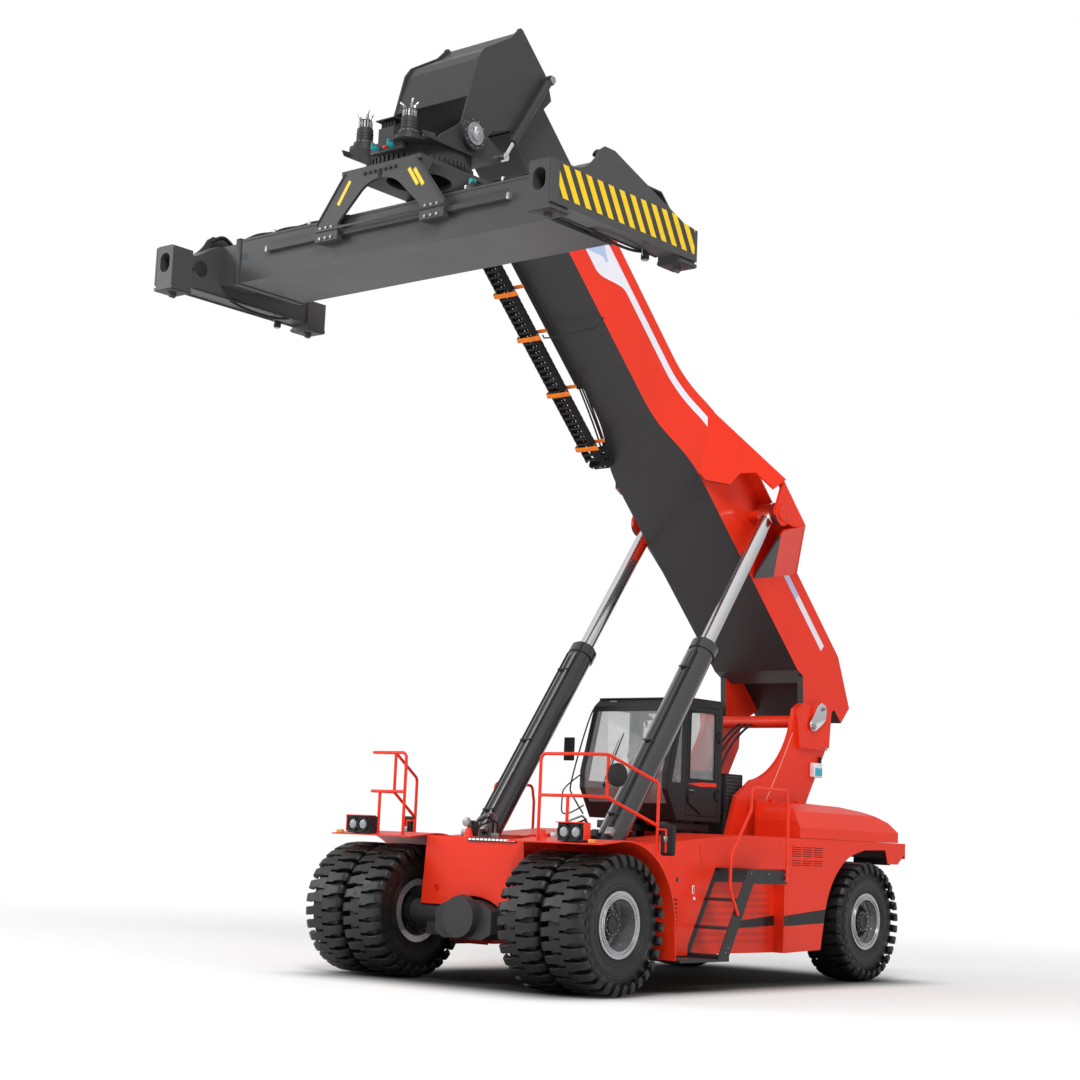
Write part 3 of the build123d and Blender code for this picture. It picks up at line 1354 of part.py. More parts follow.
# ================================================================ cylinders
pin_along, pin_z = on_boom(cylinder_pin_station, cylinder_pin_rise)
base_point = Vector(0, front_axle_y + cylinder_base_station, cylinder_base_height)
pin_point = Vector(0, front_axle_y + pin_along, pin_z)
lift_length = (pin_point - base_point).length
lift_axis = (pin_point - base_point).normalized()
barrel_length = 3440
rod_tail = 920

with BuildPart() as lift_barrels:
    for sign in (1, -1):
        base = base_point + Vector(sign * cylinder_x, 0, 0)
        with BuildSketch(Plane(origin=base, x_dir=(1, 0, 0), z_dir=lift_axis)):
            Circle(barrel_radius)
        extrude(amount=barrel_length)
        with BuildSketch(
                Plane(origin=base + lift_axis * (barrel_length - 130), x_dir=(1, 0, 0), z_dir=lift_axis)):
            Circle(barrel_radius + 20)
        extrude(amount=130)
        with BuildSketch(Plane(origin=base + Vector(-150, 0, 0), x_dir=(0, 1, 0), z_dir=(1, 0, 0))):
            Circle(165)
        extrude(amount=300)
        with BuildSketch(Plane(origin=base + lift_axis * 200, x_dir=(1, 0, 0), z_dir=lift_axis)):
            Circle(rod_radius + 30)
        extrude(amount=barrel_length - 320, mode=Mode.SUBTRACT)
        with BuildSketch(Plane(origin=base + lift_axis * 300, x_dir=(1, 0, 0), z_dir=lift_axis)):
            Circle(rod_radius + running_gap)
        extrude(amount=barrel_length, mode=Mode.SUBTRACT)
        with BuildSketch(Plane(origin=base + Vector(-400, 0, 0), x_dir=(0, 1, 0), z_dir=(1, 0, 0))):
            Circle(base_pin_radius + running_gap)
        extrude(amount=800, mode=Mode.SUBTRACT)
lift_barrels.part.label = "lift_barrels"
export_step(lift_barrels.part, "parts/lift_barrels.step")

with BuildPart() as lift_rods:
    for sign in (1, -1):
        eye = pin_point + Vector(sign * cylinder_x, 0, 0)
        with BuildSketch(Plane(origin=eye, x_dir=(1, 0, 0), z_dir=lift_axis * -1)):
            Circle(rod_radius)
        extrude(amount=rod_tail + lift_length - barrel_length)
        with BuildSketch(Plane(origin=eye + Vector(-eye_half, 0, 0), x_dir=(0, 1, 0), z_dir=(1, 0, 0))):
            Circle(eye_radius)
        extrude(amount=2 * eye_half)
lift_rods.part.label = "lift_rods"
export_step(lift_rods.part, "parts/lift_rods.step")

# ================================================================ head
damper_x = 680
damper_bore = 28
damper_length = 1150
damper_rod_length = 800
ear_behind = 550
ear_below = 120
yoke_low = 1500
yoke_plate = 40
yoke_inner = 610
yoke_outer = 638
race_radius = 600
race_split = 1400
frame_top = 1290
head_pin_y = slew_ahead
head_pin_rise = tip_below_head_pin
ear_y = head_pin_y + ear_behind
ear_rise = head_pin_rise - ear_below
damper_along, damper_z = on_boom(damper_eye_station, damper_eye_rise)
damper_top = Vector(0, front_axle_y + damper_along, damper_z)
damper_foot = Vector(0, slew_y + ear_y, tip_z + ear_rise)
damper_axis = (damper_foot - damper_top).normalized()
damper_rest = (damper_foot - damper_top).length

with BuildPart() as damper_barrels:
    for sign in (1, -1):
        top = damper_top + Vector(sign * damper_x, 0, 0)
        with BuildSketch(Plane(origin=top, x_dir=(1, 0, 0), z_dir=damper_axis)):
            Circle(50)
        extrude(amount=damper_length)
        with BuildSketch(
                Plane(origin=top - Vector(damper_bore + 7, 0, 0), x_dir=(0, 1, 0), z_dir=(1, 0, 0))):
            Circle(62)
        extrude(amount=2 * damper_bore + 14)
        with BuildSketch(Plane(origin=top + damper_axis * 90, x_dir=(1, 0, 0), z_dir=damper_axis)):
            Circle(damper_bore + running_gap)
        extrude(amount=damper_length, mode=Mode.SUBTRACT)
        with BuildSketch(Plane(origin=top - Vector(80, 0, 0), x_dir=(0, 1, 0), z_dir=(1, 0, 0))):
            Circle(damper_pin_radius + running_gap)
        extrude(amount=160, mode=Mode.SUBTRACT)
damper_barrels.part.label = "damper_barrels"
export_step(damper_barrels.part, "parts/damper_barrels.step")

with BuildPart() as damper_rods:
    for sign in (1, -1):
        foot = damper_foot + Vector(sign * damper_x, 0, 0)
        with BuildSketch(Plane(origin=foot, x_dir=(1, 0, 0), z_dir=damper_axis * -1)):
            Circle(damper_bore)
        extrude(amount=damper_rod_length)
        with BuildSketch(
                Plane(origin=foot - Vector(damper_bore + 7, 0, 0), x_dir=(0, 1, 0), z_dir=(1, 0, 0))):
            Circle(50)
            Circle(20, mode=Mode.SUBTRACT)
        extrude(amount=2 * damper_bore + 14)
damper_rods.part.label = "damper_rods"
export_step(damper_rods.part, "parts/damper_rods.step")

motor_x = 350
motor_y = -580
motor_radius = 95

with BuildPart() as head_yoke:
    # Top plate with two lobes under the slew motors, and the fixed race below it.
    with BuildSketch(spread_level(yoke_low)):
        Rectangle(2 * yoke_outer, 1100)
        with Locations((0, 0)):
            Circle(race_radius + 40)
        with Locations((-motor_x, motor_y), (motor_x, motor_y)):
            Circle(motor_radius + 75)
    extrude(amount=yoke_plate)
    with BuildSketch(spread_level(race_split)):
        Circle(race_radius)
        Circle(race_radius - 90, mode=Mode.SUBTRACT)
    extrude(amount=yoke_low - race_split)
    # Cheeks up to the head pins, with an ear behind for the damper.
    for edge, boss, pin in (
            (yoke_inner, yoke_outer, nose_half - 40), (-yoke_outer, -yoke_outer - 62, -yoke_outer - 62)):
        with BuildSketch(spread_side(edge)):
            with BuildLine():
                Polyline(
                    (-420, yoke_low), (-350, yoke_low + 100), (-25, head_pin_rise + 90),
                    (head_pin_y + 130, head_pin_rise + 150),
                    (ear_y, ear_rise + 55), (ear_y + 55, ear_rise), (ear_y, ear_rise - 55), (540, yoke_low),
                    close=True)
            make_face()
            with Locations((head_pin_y, head_pin_rise)):
                Circle(200)
        extrude(amount=yoke_outer - yoke_inner)
        with BuildSketch(spread_side(boss)):
            with Locations((head_pin_y, head_pin_rise)):
                Circle(190)
        extrude(amount=62)
        with BuildSketch(spread_side(pin)):
            with Locations((head_pin_y, head_pin_rise)):
                Circle(80)
        extrude(amount=yoke_outer + 62 - nose_half + 40)
    # Slew motors on their lobes, with the valve block between.
    for x in (-motor_x, motor_x):
        for radius, low, high in ((motor_radius + 30, 0, 60), (motor_radius, 60, 230), (70, 230, 330)):
            with BuildSketch(spread_level(yoke_low + yoke_plate + low)):
                with Locations((x, motor_y)):
                    Circle(radius)
            extrude(amount=high - low)
    with BuildSketch(spread_level(yoke_low + yoke_plate)):
        with Locations((0, -500)):
            Rectangle(240, 180)
    extrude(amount=190)
head_yoke.part.label = "head_yoke"
export_step(head_yoke.part, "parts/head_yoke.step")

slide_rail_low = 560
slide_rail_high = 620
slide_rail_reach = 60
slide_rail_half = 1900
frame_face = beam_half_depth + 76
frame_plate = 40
frame_half = 620
leg_top_outer = 560
leg_top_inner = 250
foot_outer = 1010
foot_inner = 650
foot_low = 500
foot_high = 690
arch_height = 1120
foot_width = foot_outer - foot_inner
foot_reach = frame_face - beam_half_depth - 6

with BuildPart() as rotator_frame:
    with BuildSketch(spread_level(frame_top)):
        Circle(race_radius)
        Circle(race_radius - 90, mode=Mode.SUBTRACT)
    extrude(amount=race_split - seat_gap - frame_top)
    with BuildSketch(spread_level(frame_top - 50)):
        Rectangle(2 * frame_half, 2 * (frame_face + frame_plate))
        Circle(380, mode=Mode.SUBTRACT)
    extrude(amount=50)
    # An A-shaped leg frame before and behind, whose feet clasp the rails of the main beam.
    for edge in (-frame_face, frame_face + frame_plate):
        with BuildSketch(spread_front(edge)):
            with BuildLine():
                Polyline(
                    (foot_outer, foot_low), (foot_outer, foot_high), (leg_top_outer, frame_top - 20),
                    (-leg_top_outer, frame_top - 20), (-foot_outer, foot_high), (-foot_outer, foot_low),
                    (-foot_inner, foot_low), (-foot_inner, foot_high),
                    (-leg_top_inner - 60, arch_height - 110))
                ThreePointArc(
                    (-leg_top_inner - 60, arch_height - 110), (0, arch_height),
                    (leg_top_inner + 60, arch_height - 110))
                Polyline(
                    (leg_top_inner + 60, arch_height - 110), (foot_inner, foot_high), (foot_inner, foot_low),
                    (foot_outer, foot_low))
            make_face()
        extrude(amount=frame_plate)
    for side in (1, -1):
        foot_y = side * (beam_half_depth + 6 + foot_reach / 2)
        for low, high in (
                (slide_rail_high + running_gap, foot_high), (foot_low, slide_rail_low - running_gap)):
            with BuildSketch(spread_level(low)):
                with Locations(
                        ((foot_outer + foot_inner) / 2, foot_y), (-(foot_outer + foot_inner) / 2, foot_y)):
                    Rectangle(foot_width, foot_reach)
            extrude(amount=high - low)
    # Gussets tie the legs to the top plate.
    for x in (-frame_half, frame_half - 30):
        with BuildSketch(spread_side(x)):
            with BuildLine():
                Polyline(
                    (-frame_face, frame_top - 40), (-frame_face, 980), (-430, frame_top - 40), close=True)
            make_face()
            with BuildLine():
                Polyline((frame_face, frame_top - 40), (frame_face, 980), (430, frame_top - 40), close=True)
            make_face()
        extrude(amount=30)
rotator_frame.part.label = "rotator_frame"
export_step(rotator_frame.part, "parts/rotator_frame.step")

beam_wall = 12
tunnel_inner = beam_wall
tunnel_outer = beam_half_depth - beam_wall
tunnel_low = beam_floor + beam_wall
tunnel_high = beam_roof - beam_wall
arm_inner = tunnel_inner + 18
arm_outer = tunnel_outer - 22
arm_low = tunnel_low + 20
arm_high = tunnel_high - 20
arm_wall = 14
arm_root = -2000
pad_length = 180
pad_width = 300
tunnel_middle_y = (tunnel_inner + tunnel_outer) / 2
tunnel_middle_z = (tunnel_low + tunnel_high) / 2

with BuildPart() as main_beam:
    # Box with two tunnels side by side for the telescopic arms.
    with BuildSketch(spread_side(-beam_half_length)):
        with Locations((0, (beam_floor + beam_roof) / 2)):
            Rectangle(2 * beam_half_depth, beam_roof - beam_floor)
        with Locations((tunnel_middle_y, tunnel_middle_z), (-tunnel_middle_y, tunnel_middle_z)):
            Rectangle(tunnel_outer - tunnel_inner, tunnel_high - tunnel_low, mode=Mode.SUBTRACT)
    extrude(amount=2 * beam_half_length)
    # Rails for the side shift along both faces.
    for low in (beam_half_depth, -beam_half_depth - slide_rail_reach):
        with BuildSketch(spread_side(-slide_rail_half)):
            with Locations((low + slide_rail_reach / 2, (slide_rail_low + slide_rail_high) / 2)):
                Rectangle(slide_rail_reach, slide_rail_high - slide_rail_low)
        extrude(amount=2 * slide_rail_half)
    # Wear pads in the mouths of both tunnels.
    for sign in (1, -1):
        middle = sign * (arm_inner + arm_outer) / 2
        for x in (-beam_half_length + 10, beam_half_length - 10 - pad_length):
            with BuildSketch(spread_side(x)):
                with Locations((middle, (tunnel_low + arm_low - running_gap) / 2)):
                    Rectangle(pad_width, arm_low - running_gap - tunnel_low)
                with Locations((middle, (tunnel_high + arm_high + running_gap) / 2)):
                    Rectangle(pad_width, tunnel_high - arm_high - running_gap)
                with Locations((sign * (tunnel_outer + arm_outer + running_gap) / 2, tunnel_middle_z)):
                    Rectangle(tunnel_outer - arm_outer - running_gap, pad_width)
                with Locations((sign * (tunnel_inner + arm_inner - running_gap) / 2, tunnel_middle_z)):
                    Rectangle(arm_inner - running_gap - tunnel_inner, pad_width)
            extrude(amount=pad_length)
main_beam.part.label = "main_beam"
export_step(main_beam.part, "parts/main_beam.step")

corner_x = corner_pitch_x / 2
corner_y = corner_pitch_y / 2
head_half = 150
head_floor = 70
base_plate = 35
lock_bore = 42
end_inner_x = corner_x - 126.5
end_plate_x = corner_x + 136.5
end_outer_x = end_plate_x + 22
end_wall = 15
end_reach = head_front_reach

for side_name, sign in (("left", 1), ("right", -1)):
    with BuildPart() as end_beam:
        # Box across the spreader, drawn as a hollow between its inner wall and the outer plate.
        with BuildSketch(spread_side(sign * end_inner_x)):
            with BuildLine():
                Polyline(
                    (-1000, 150), (1000, 150), (1000, 430), (620, arm_high), (-560, arm_high), (-900, 560),
                    (-1000, 560), close=True)
            make_face()
        extrude(amount=sign * (end_plate_x - end_inner_x))
        with BuildSketch(spread_side(sign * (end_inner_x + arm_wall))):
            with BuildLine():
                Polyline(
                    (-1000 + end_wall, 150 + end_wall), (1000 - end_wall, 150 + end_wall),
                    (1000 - end_wall, 423),
                    (613, arm_high - end_wall), (-555, arm_high - end_wall), (-895, 560 - end_wall),
                    (-1000 + end_wall, 560 - end_wall), close=True)
            make_face()
        extrude(amount=sign * (end_plate_x - end_inner_x - arm_wall), mode=Mode.SUBTRACT)
        # Outer plate with its peak over the arm.
        with BuildSketch(spread_side(sign * end_plate_x)):
            with BuildLine():
                Polyline(
                    (-end_reach, 135), (end_reach, 135), (end_reach, 490), (1010, 520), (-160, 930),
                    (-260, 965),
                    (-430, 965), (-520, 900))
                ThreePointArc((-520, 900), (-680, 700), (-900, 600))
                Polyline((-900, 600), (-end_reach, 600), (-end_reach, 135))
            make_face()
        extrude(amount=sign * (end_outer_x - end_plate_x))
        # Corner housings, bored for the twistlocks; the front one has a round pocket.
        for y, top in ((-corner_y, 600), (corner_y, 450)):
            with BuildSketch(spread_level(head_floor + base_plate)):
                with Locations((sign * (corner_x - 10), y)):
                    Rectangle(2 * head_half - 20, 2 * head_half + 10)
            extrude(amount=top - head_floor - base_plate)
            with BuildSketch(spread_level(head_floor)):
                with Locations((sign * corner_x, y)):
                    Rectangle(2 * head_half + 20, 2 * head_half + 10)
            extrude(amount=base_plate)
            with BuildSketch(spread_level(head_floor - 10)):
                with Locations((sign * corner_x, y)):
                    Circle(lock_bore)
            extrude(amount=280, mode=Mode.SUBTRACT)
        with BuildSketch(spread_front(-corner_y - head_half - 20)):
            with Locations((sign * (corner_x - 10), 400)):
                SlotOverall(240, 170, rotation=90)
        extrude(amount=-200, mode=Mode.SUBTRACT)
        # Telescopic arm, running in its own tunnel of the main beam.
        low_y, high_y = (arm_inner, arm_outer) if sign > 0 else (-arm_outer, -arm_inner)
        with BuildSketch(spread_side(sign * arm_root)):
            with Locations(((low_y + high_y) / 2, (arm_low + arm_high) / 2)):
                Rectangle(arm_outer - arm_inner, arm_high - arm_low)
                Rectangle(
                    arm_outer - arm_inner - 2 * arm_wall, arm_high - arm_low - 2 * arm_wall,
                    mode=Mode.SUBTRACT)
        extrude(amount=sign * (end_inner_x - arm_root))
    end_beam.part.label = f"{side_name}_end_beam"
    export_step(end_beam.part, f"parts/{side_name}_end_beam.step")

    for end_name, y in (("front", -corner_y), ("rear", corner_y)):
        with BuildPart() as twistlock:
            # Shank with a collar that fills the bore, over a container lock head with a pointed tip.
            with BuildSketch(spread_level(60)):
                with Locations((sign * corner_x, y)):
                    Circle(30)
            extrude(amount=270)
            with BuildSketch(spread_level(head_floor + 50)):
                with Locations((sign * corner_x, y)):
                    Circle(lock_bore - seat_gap)
            extrude(amount=40)
            with BuildSketch(spread_level(24)):
                with Locations((sign * corner_x, y)):
                    RectangleRounded(60, 104, 20)
            extrude(amount=38)
            extrude(faces().sort_by(Axis.Z)[0], amount=24, taper=40)
        twistlock.part.label = f"{end_name}_{side_name}_twistlock"
        export_step(twistlock.part, f"parts/{end_name}_{side_name}_twistlock.step")

hose_radius = 17
hose_station = engine_station - 500
hose_bend = pivot_station - 920
hose_bend_height = pivot_height - 400
run_direction = Vector(0, cross_tube_station - hose_bend, cross_tube_height - hose_bend_height).normalized()
with BuildPart() as tower_hoses:
    # Three hoses from the engine up to the cross tube of the tower.
    for x in (-160, -60, 40):
        points = [
            rail_point(x, hose_station, engine_top + seat_gap),
            rail_point(x, hose_station, engine_top + 500),
            rail_point(x, hose_bend, hose_bend_height),
            rail_point(x, cross_tube_station, cross_tube_height) - run_direction * (
                cross_tube_radius + seat_gap)]
        with BuildLine() as path:
            FilletPolyline(*points, radius=160)
        with BuildSketch(Plane(origin=points[0], z_dir=points[1] - points[0])):
            Circle(hose_radius)
        sweep(path=path.line)
tower_hoses.part.label = "tower_hoses"
export_step(tower_hoses.part, "parts/tower_hoses.step")
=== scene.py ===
import bpy
import json
from math import atan2, ceil, cos, pi, radians, sin, sqrt
from mathutils import Matrix, Vector


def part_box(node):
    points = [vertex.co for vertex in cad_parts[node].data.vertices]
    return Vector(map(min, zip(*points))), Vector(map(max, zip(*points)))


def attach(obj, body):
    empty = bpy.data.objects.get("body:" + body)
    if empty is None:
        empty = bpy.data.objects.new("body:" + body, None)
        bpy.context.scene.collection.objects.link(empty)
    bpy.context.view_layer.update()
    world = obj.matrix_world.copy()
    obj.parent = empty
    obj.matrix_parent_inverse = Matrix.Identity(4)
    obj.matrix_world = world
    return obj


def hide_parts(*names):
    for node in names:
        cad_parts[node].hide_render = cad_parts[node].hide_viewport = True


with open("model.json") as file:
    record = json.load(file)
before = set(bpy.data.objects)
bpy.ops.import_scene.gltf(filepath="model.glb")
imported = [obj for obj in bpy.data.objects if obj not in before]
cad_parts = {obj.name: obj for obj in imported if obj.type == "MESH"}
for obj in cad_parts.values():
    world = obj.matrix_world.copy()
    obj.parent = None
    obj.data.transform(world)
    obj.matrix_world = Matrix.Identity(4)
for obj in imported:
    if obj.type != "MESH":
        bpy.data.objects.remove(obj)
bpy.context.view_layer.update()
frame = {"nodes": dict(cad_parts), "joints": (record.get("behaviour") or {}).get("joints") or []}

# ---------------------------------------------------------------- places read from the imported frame
joints = {joint["name"]: joint for joint in frame["joints"]}
nodes = frame["nodes"]
front_axle = Vector(joints["front_left_wheels_spin"]["pos_m"])
rear_axle = Vector(joints["rear_left_wheel_spin"]["pos_m"])
boom_pivot = Vector(joints["boom_lift"]["pos_m"])
boom_along = Vector(joints["boom_extend"]["axis"])
boom_up = Vector((0, -boom_along.z, boom_along.y)) * -1
slew = Vector(joints["spreader_slew"]["pos_m"])
head_pin = Vector(joints["head_level"]["pos_m"])
lift_base = Vector(joints["lift_barrels_swing"]["pos_m"])
lift_axis = Vector(joints["lift_rods_slide"]["axis"])
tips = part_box("front_left_twistlock")[0].z


SIDES = (("left", 1), ("right", -1))


def station(along):
    """Row Y of a place so far behind the front axle."""
    return front_axle.y + along


def on_boom(along, rise, x=0):
    return boom_pivot + boom_along * along + boom_up * rise + Vector((x, 0, 0))


def at(x, along, z):
    """A place on the machine: beside its middle, behind the front axle, above the floor."""
    return (x, station(along), z)


def around(count, shift=0):
    """Even angles round a full turn, shifted by a share of one step."""
    return [2 * pi * (k + shift) / count for k in range(count)]


def at_slew(x, y, rise):
    """A place on the spreader: beside and behind the slew axis, above the twistlock tips."""
    return Vector((x, slew.y + y, tips + rise))


# ---------------------------------------------------------------- camera, lamps and floor
def add_camera():
    yaw, pitch, roll = 0.6944, 0.1471, 0.0427
    sensor, focal_length = 36, 67.97
    ahead = Vector((-sin(yaw) * cos(pitch), cos(yaw) * cos(pitch), sin(pitch)))
    across = Vector((cos(yaw), sin(yaw), 0))
    rise = across.cross(ahead)
    right = across * cos(roll) + rise * sin(roll)
    top = rise * cos(roll) - across * sin(roll)
    bpy.ops.object.camera_add(location=(15.883, -20.335, 1.656))
    camera = bpy.context.object
    camera.rotation_euler = Matrix((right, top, -ahead)).transposed().to_euler()
    camera.data.sensor_width, camera.data.lens = sensor, focal_length
    camera.data.clip_end = 400
    bpy.context.scene.camera = camera


def add_lamp(name, place, aim, size, power):
    bpy.ops.object.light_add(type="AREA", location=place)
    lamp = bpy.context.object
    lamp.name = name
    lamp.rotation_euler = (Vector(aim) - Vector(place)).to_track_quat("-Z", "Y").to_euler()
    lamp.data.size = size
    lamp.data.energy = power


# ---------------------------------------------------------------- materials
class Value:
    """One output in a material. Arithmetic on it adds the Math nodes."""

    def __init__(self, tree, socket):
        self.tree = tree
        self.socket = socket

    def math(self, operation, first, second=0.0):
        return node(self.tree, "ShaderNodeMath", {"operation": operation}, {0: first, 1: second})

    def __add__(self, other):
        return self.math("ADD", self, other)

    def __mul__(self, other):
        return self.math("MULTIPLY", self, other)

    def __sub__(self, other):
        return self.math("SUBTRACT", self, other)

    def __rsub__(self, other):
        return self.math("SUBTRACT", other, self)

    def __truediv__(self, other):
        return self.math("DIVIDE", self, other)

    def __mod__(self, other):
        return self.math("FLOORED_MODULO", self, other)

    def __gt__(self, other):
        return self.math("GREATER_THAN", self, other)

    def __lt__(self, other):
        return self.math("LESS_THAN", self, other)

    def __or__(self, other):
        return self.math("MAXIMUM", self, other)

    def __and__(self, other):
        return self.math("MINIMUM", self, other)

    def __abs__(self):
        return self.math("ABSOLUTE", self)

    __radd__ = __add__
    __rmul__ = __mul__


def node(tree, kind, settings=(), sockets=(), output=0):
    """Adds a node: its settings first, then the values or links of its sockets."""
    made = tree.nodes.new(kind)
    for key, value in dict(settings).items():
        if key == "stops":
            ramp = made.color_ramp
            for place, colour in value:
                stop = ramp.elements.new(place) if place not in (0, 1) else ramp.elements[int(place)]
                stop.color = colour
        else:
            setattr(made, key, value)
    for key, value in dict(sockets).items():
        if isinstance(value, Value):
            tree.links.new(value.socket, made.inputs[key])
        else:
            made.inputs[key].default_value = value
    return Value(tree, made.outputs[output])


class Coat:
    """A material while it is being made, with the row frame's place and facing at hand."""

    def __init__(self, name, **constants):
        self.material = bpy.data.materials.new(name)
        self.material.use_nodes = True
        self.tree = self.material.node_tree
        self.shader = self.tree.nodes["Principled BSDF"]
        for key, value in constants.items():
            self.shader.inputs[key.replace("_", " ")].default_value = value
        self.place = self.node("ShaderNodeTexCoord", output=3)
        self.x = self.node("ShaderNodeSeparateXYZ", sockets={0: self.place}, output=0)
        self.y = self.node("ShaderNodeSeparateXYZ", sockets={0: self.place}, output=1)
        self.z = self.node("ShaderNodeSeparateXYZ", sockets={0: self.place}, output=2)

    def node(self, kind, settings=(), sockets=(), output=0):
        return node(self.tree, kind, settings, sockets, output)

    def facing(self, direction):
        """How much the surface faces a direction."""
        normal = self.node("ShaderNodeNewGeometry", output=1)
        return self.node("ShaderNodeVectorMath", {"operation": "DOT_PRODUCT"}, {0: normal, 1: direction},
                         output=1)

    def noise(self, scale, detail=2.0, rough=0.5, stretch=None):
        """Noise from 0 to 1 at so many grains a metre, stretched along an axis if need be."""
        place = self.place
        if stretch:
            place = self.node("ShaderNodeMapping", sockets={0: place, 3: stretch})
        return self.node("ShaderNodeTexNoise",
                         sockets={"Vector": place, "Scale": scale, "Detail": detail, "Roughness": rough})

    def ramp(self, value, low, high):
        """0 below low, 1 above high, smooth between."""
        return self.node("ShaderNodeMapRange", {"interpolation_type": "SMOOTHSTEP"},
                         {0: value, 1: low, 2: high})

    def mix(self, factor, first, second):
        return self.node("ShaderNodeMix", {"data_type": "RGBA"}, {0: factor, 6: first, 7: second}, output=2)

    def bump(self, height, strength, distance):
        return self.node("ShaderNodeBump",
                         sockets={"Strength": strength, "Distance": distance, "Height": height})

    def put(self, **links):
        for key, value in links.items():
            socket = self.shader.inputs[key.replace("_", " ")]
            if isinstance(value, Value):
                self.tree.links.new(value.socket, socket)
            else:
                socket.default_value = value
        return self.material


def rgb(red, green, blue):
    return (red, green, blue, 1.0)


def grey(level):
    return rgb(level, level, level)


RED = rgb(0.82, 0.030, 0.006)
DARK = rgb(0.036, 0.036, 0.038)
SPREADER_GREY = rgb(0.056, 0.056, 0.058)
DUST = rgb(0.30, 0.26, 0.21)


def painted(name, colour, roughness=0.34, wear=rgb(0.30, 0.28, 0.26), gloss=0.12, dirt=0.4, colours=None):
    """Machine paint: slow colour drift, orange peel, rubbed spots, and dust low down and on top faces."""
    coat = Coat(name, Coat_Roughness=0.12, Specular_IOR_Level=0.22)
    base = colours(coat) if colours else colour
    drift = coat.noise(1.3, 3.0)
    darker = coat.mix(drift * 0.16, base, grey(0.02))
    streak = coat.noise(5.0, 4.0, 0.65, stretch=(1.0, 1.0, 0.16))
    low = 1 - coat.ramp(coat.z, 0.2, 1.5)
    dust = coat.ramp(streak, 0.50, 0.78) * (low * 0.25 * dirt + coat.facing((0, 0, 1)) * 0.08 * dirt)
    dusty = coat.mix(dust | 0.0, darker, DUST)
    fleck = coat.ramp(coat.noise(46.0, 5.0, 0.7), 0.715, 0.745) * coat.ramp(coat.noise(2.2, 2.0), 0.56,
            0.66)
    worn = coat.mix(fleck * 0.55, dusty, wear)
    rough = roughness + drift * 0.10 + dust * 0.5 + fleck * 0.25
    peel = coat.noise(160.0, 1.0) * 0.35 + coat.noise(26.0, 2.0)
    return coat.put(Base_Color=worn, Roughness=rough, Coat_Weight=gloss * (1 - dust),
                    Normal=coat.bump(peel, 0.10, 0.004))


def inside(coat, *planes):
    """1 where every difference is above 0."""
    total = None
    for plane in planes:
        step = plane > 0.0
        total = step if total is None else total & step
    return total


def boom_colours(coat):
    """Red sides, a white stripe, a blue and white sweep near the mouth, and a dark belly deepened by painted
    shade.
    """
    along = (coat.y - boom_pivot.y) * boom_along.y + (coat.z - boom_pivot.z) * boom_along.z
    rise = (coat.y - boom_pivot.y) * boom_up.y + (coat.z - boom_pivot.z) * boom_up.z
    side = abs(coat.facing((1, 0, 0))) > 0.9
    stripe = inside(coat, rise - 0.84, 0.955 - rise, along - (3.93 - (rise - 0.84) * 1.2), 8.1 - along)
    sweep_low = coat.ramp(along, 6.50, 7.10) * -0.334 + 0.84
    sweep = inside(coat, rise - sweep_low, 0.955 - rise, along - 6.45)
    blue_low = 0.745 - coat.ramp(along, 7.08, 7.42) * 0.22
    blue_high = 0.80 + coat.ramp(along, 7.03, 7.28) * 0.085
    blue = inside(coat, rise - blue_low, blue_high - rise, along - 7.03)
    foot = inside(coat, rise - 0.83, 0.935 - rise, along - 0.43, 2.06 - along)
    pale_foot = foot * (along > 1.37)
    white = (stripe | sweep | foot) * side
    colour = coat.mix(white, RED, rgb(0.82, 0.82, 0.90))
    colour = coat.mix(((blue | pale_foot) * side) * 0.9, colour, rgb(0.40, 0.54, 0.78))
    # painted shade: faces that look down under the boom are painted near black, over the belly's dark paint
    belly = (coat.facing(tuple(boom_up * -1)) > 0.35) * (0.62 > rise)
    return coat.mix(belly, colour, rgb(0.030, 0.030, 0.032))


def hazard_colours(coat):
    """Slanting yellow bars on dark grey across the outer plate, under its pale chamfer."""
    y = coat.y - slew.y
    z = coat.z - tips
    outer = abs(coat.facing((1, 0, 0))) > 0.9
    plate = (abs(coat.x) > 3.07) * outer
    bar = ((y + 1.11 - (0.565 - z) * 0.6) / 0.19) % 1.0
    band = inside(coat, z - 0.215, 0.572 - z, y + 1.16, 1.235 - y)
    yellow = (0.5 > bar) * band * plate
    darker = coat.mix(band * plate, SPREADER_GREY, rgb(0.040, 0.039, 0.039))
    return coat.mix(yellow, darker, rgb(0.84, 0.55, 0.010))


def beam_colours(coat):
    """The main beam's front has painted shade inside its stepped panel, under the rail, and is darker at its
    little window.
    """
    z = coat.z - tips
    x = coat.x * -1
    front = coat.facing((0, -1, 0)) > 0.9
    # painted shade: the stepped panel under the rail is painted darker, where the rail and the recess shade
    # it
    upper = inside(coat, z - 0.50, 0.70 - z, 1.88 + (z - 0.69) * -0.15 - x, x + 1.88)
    lower = inside(coat, z - 0.31, 0.51 - z, 0.86 + (0.50 - z) * -0.3 - x, x + 0.86)
    window = inside(coat, z - 0.53, 0.62 - z, x - 2.28, 2.42 - x)
    shade = coat.mix((upper | lower) * front, SPREADER_GREY, rgb(0.044, 0.044, 0.046))
    return coat.mix(window * front, shade, rgb(0.018, 0.035, 0.037))


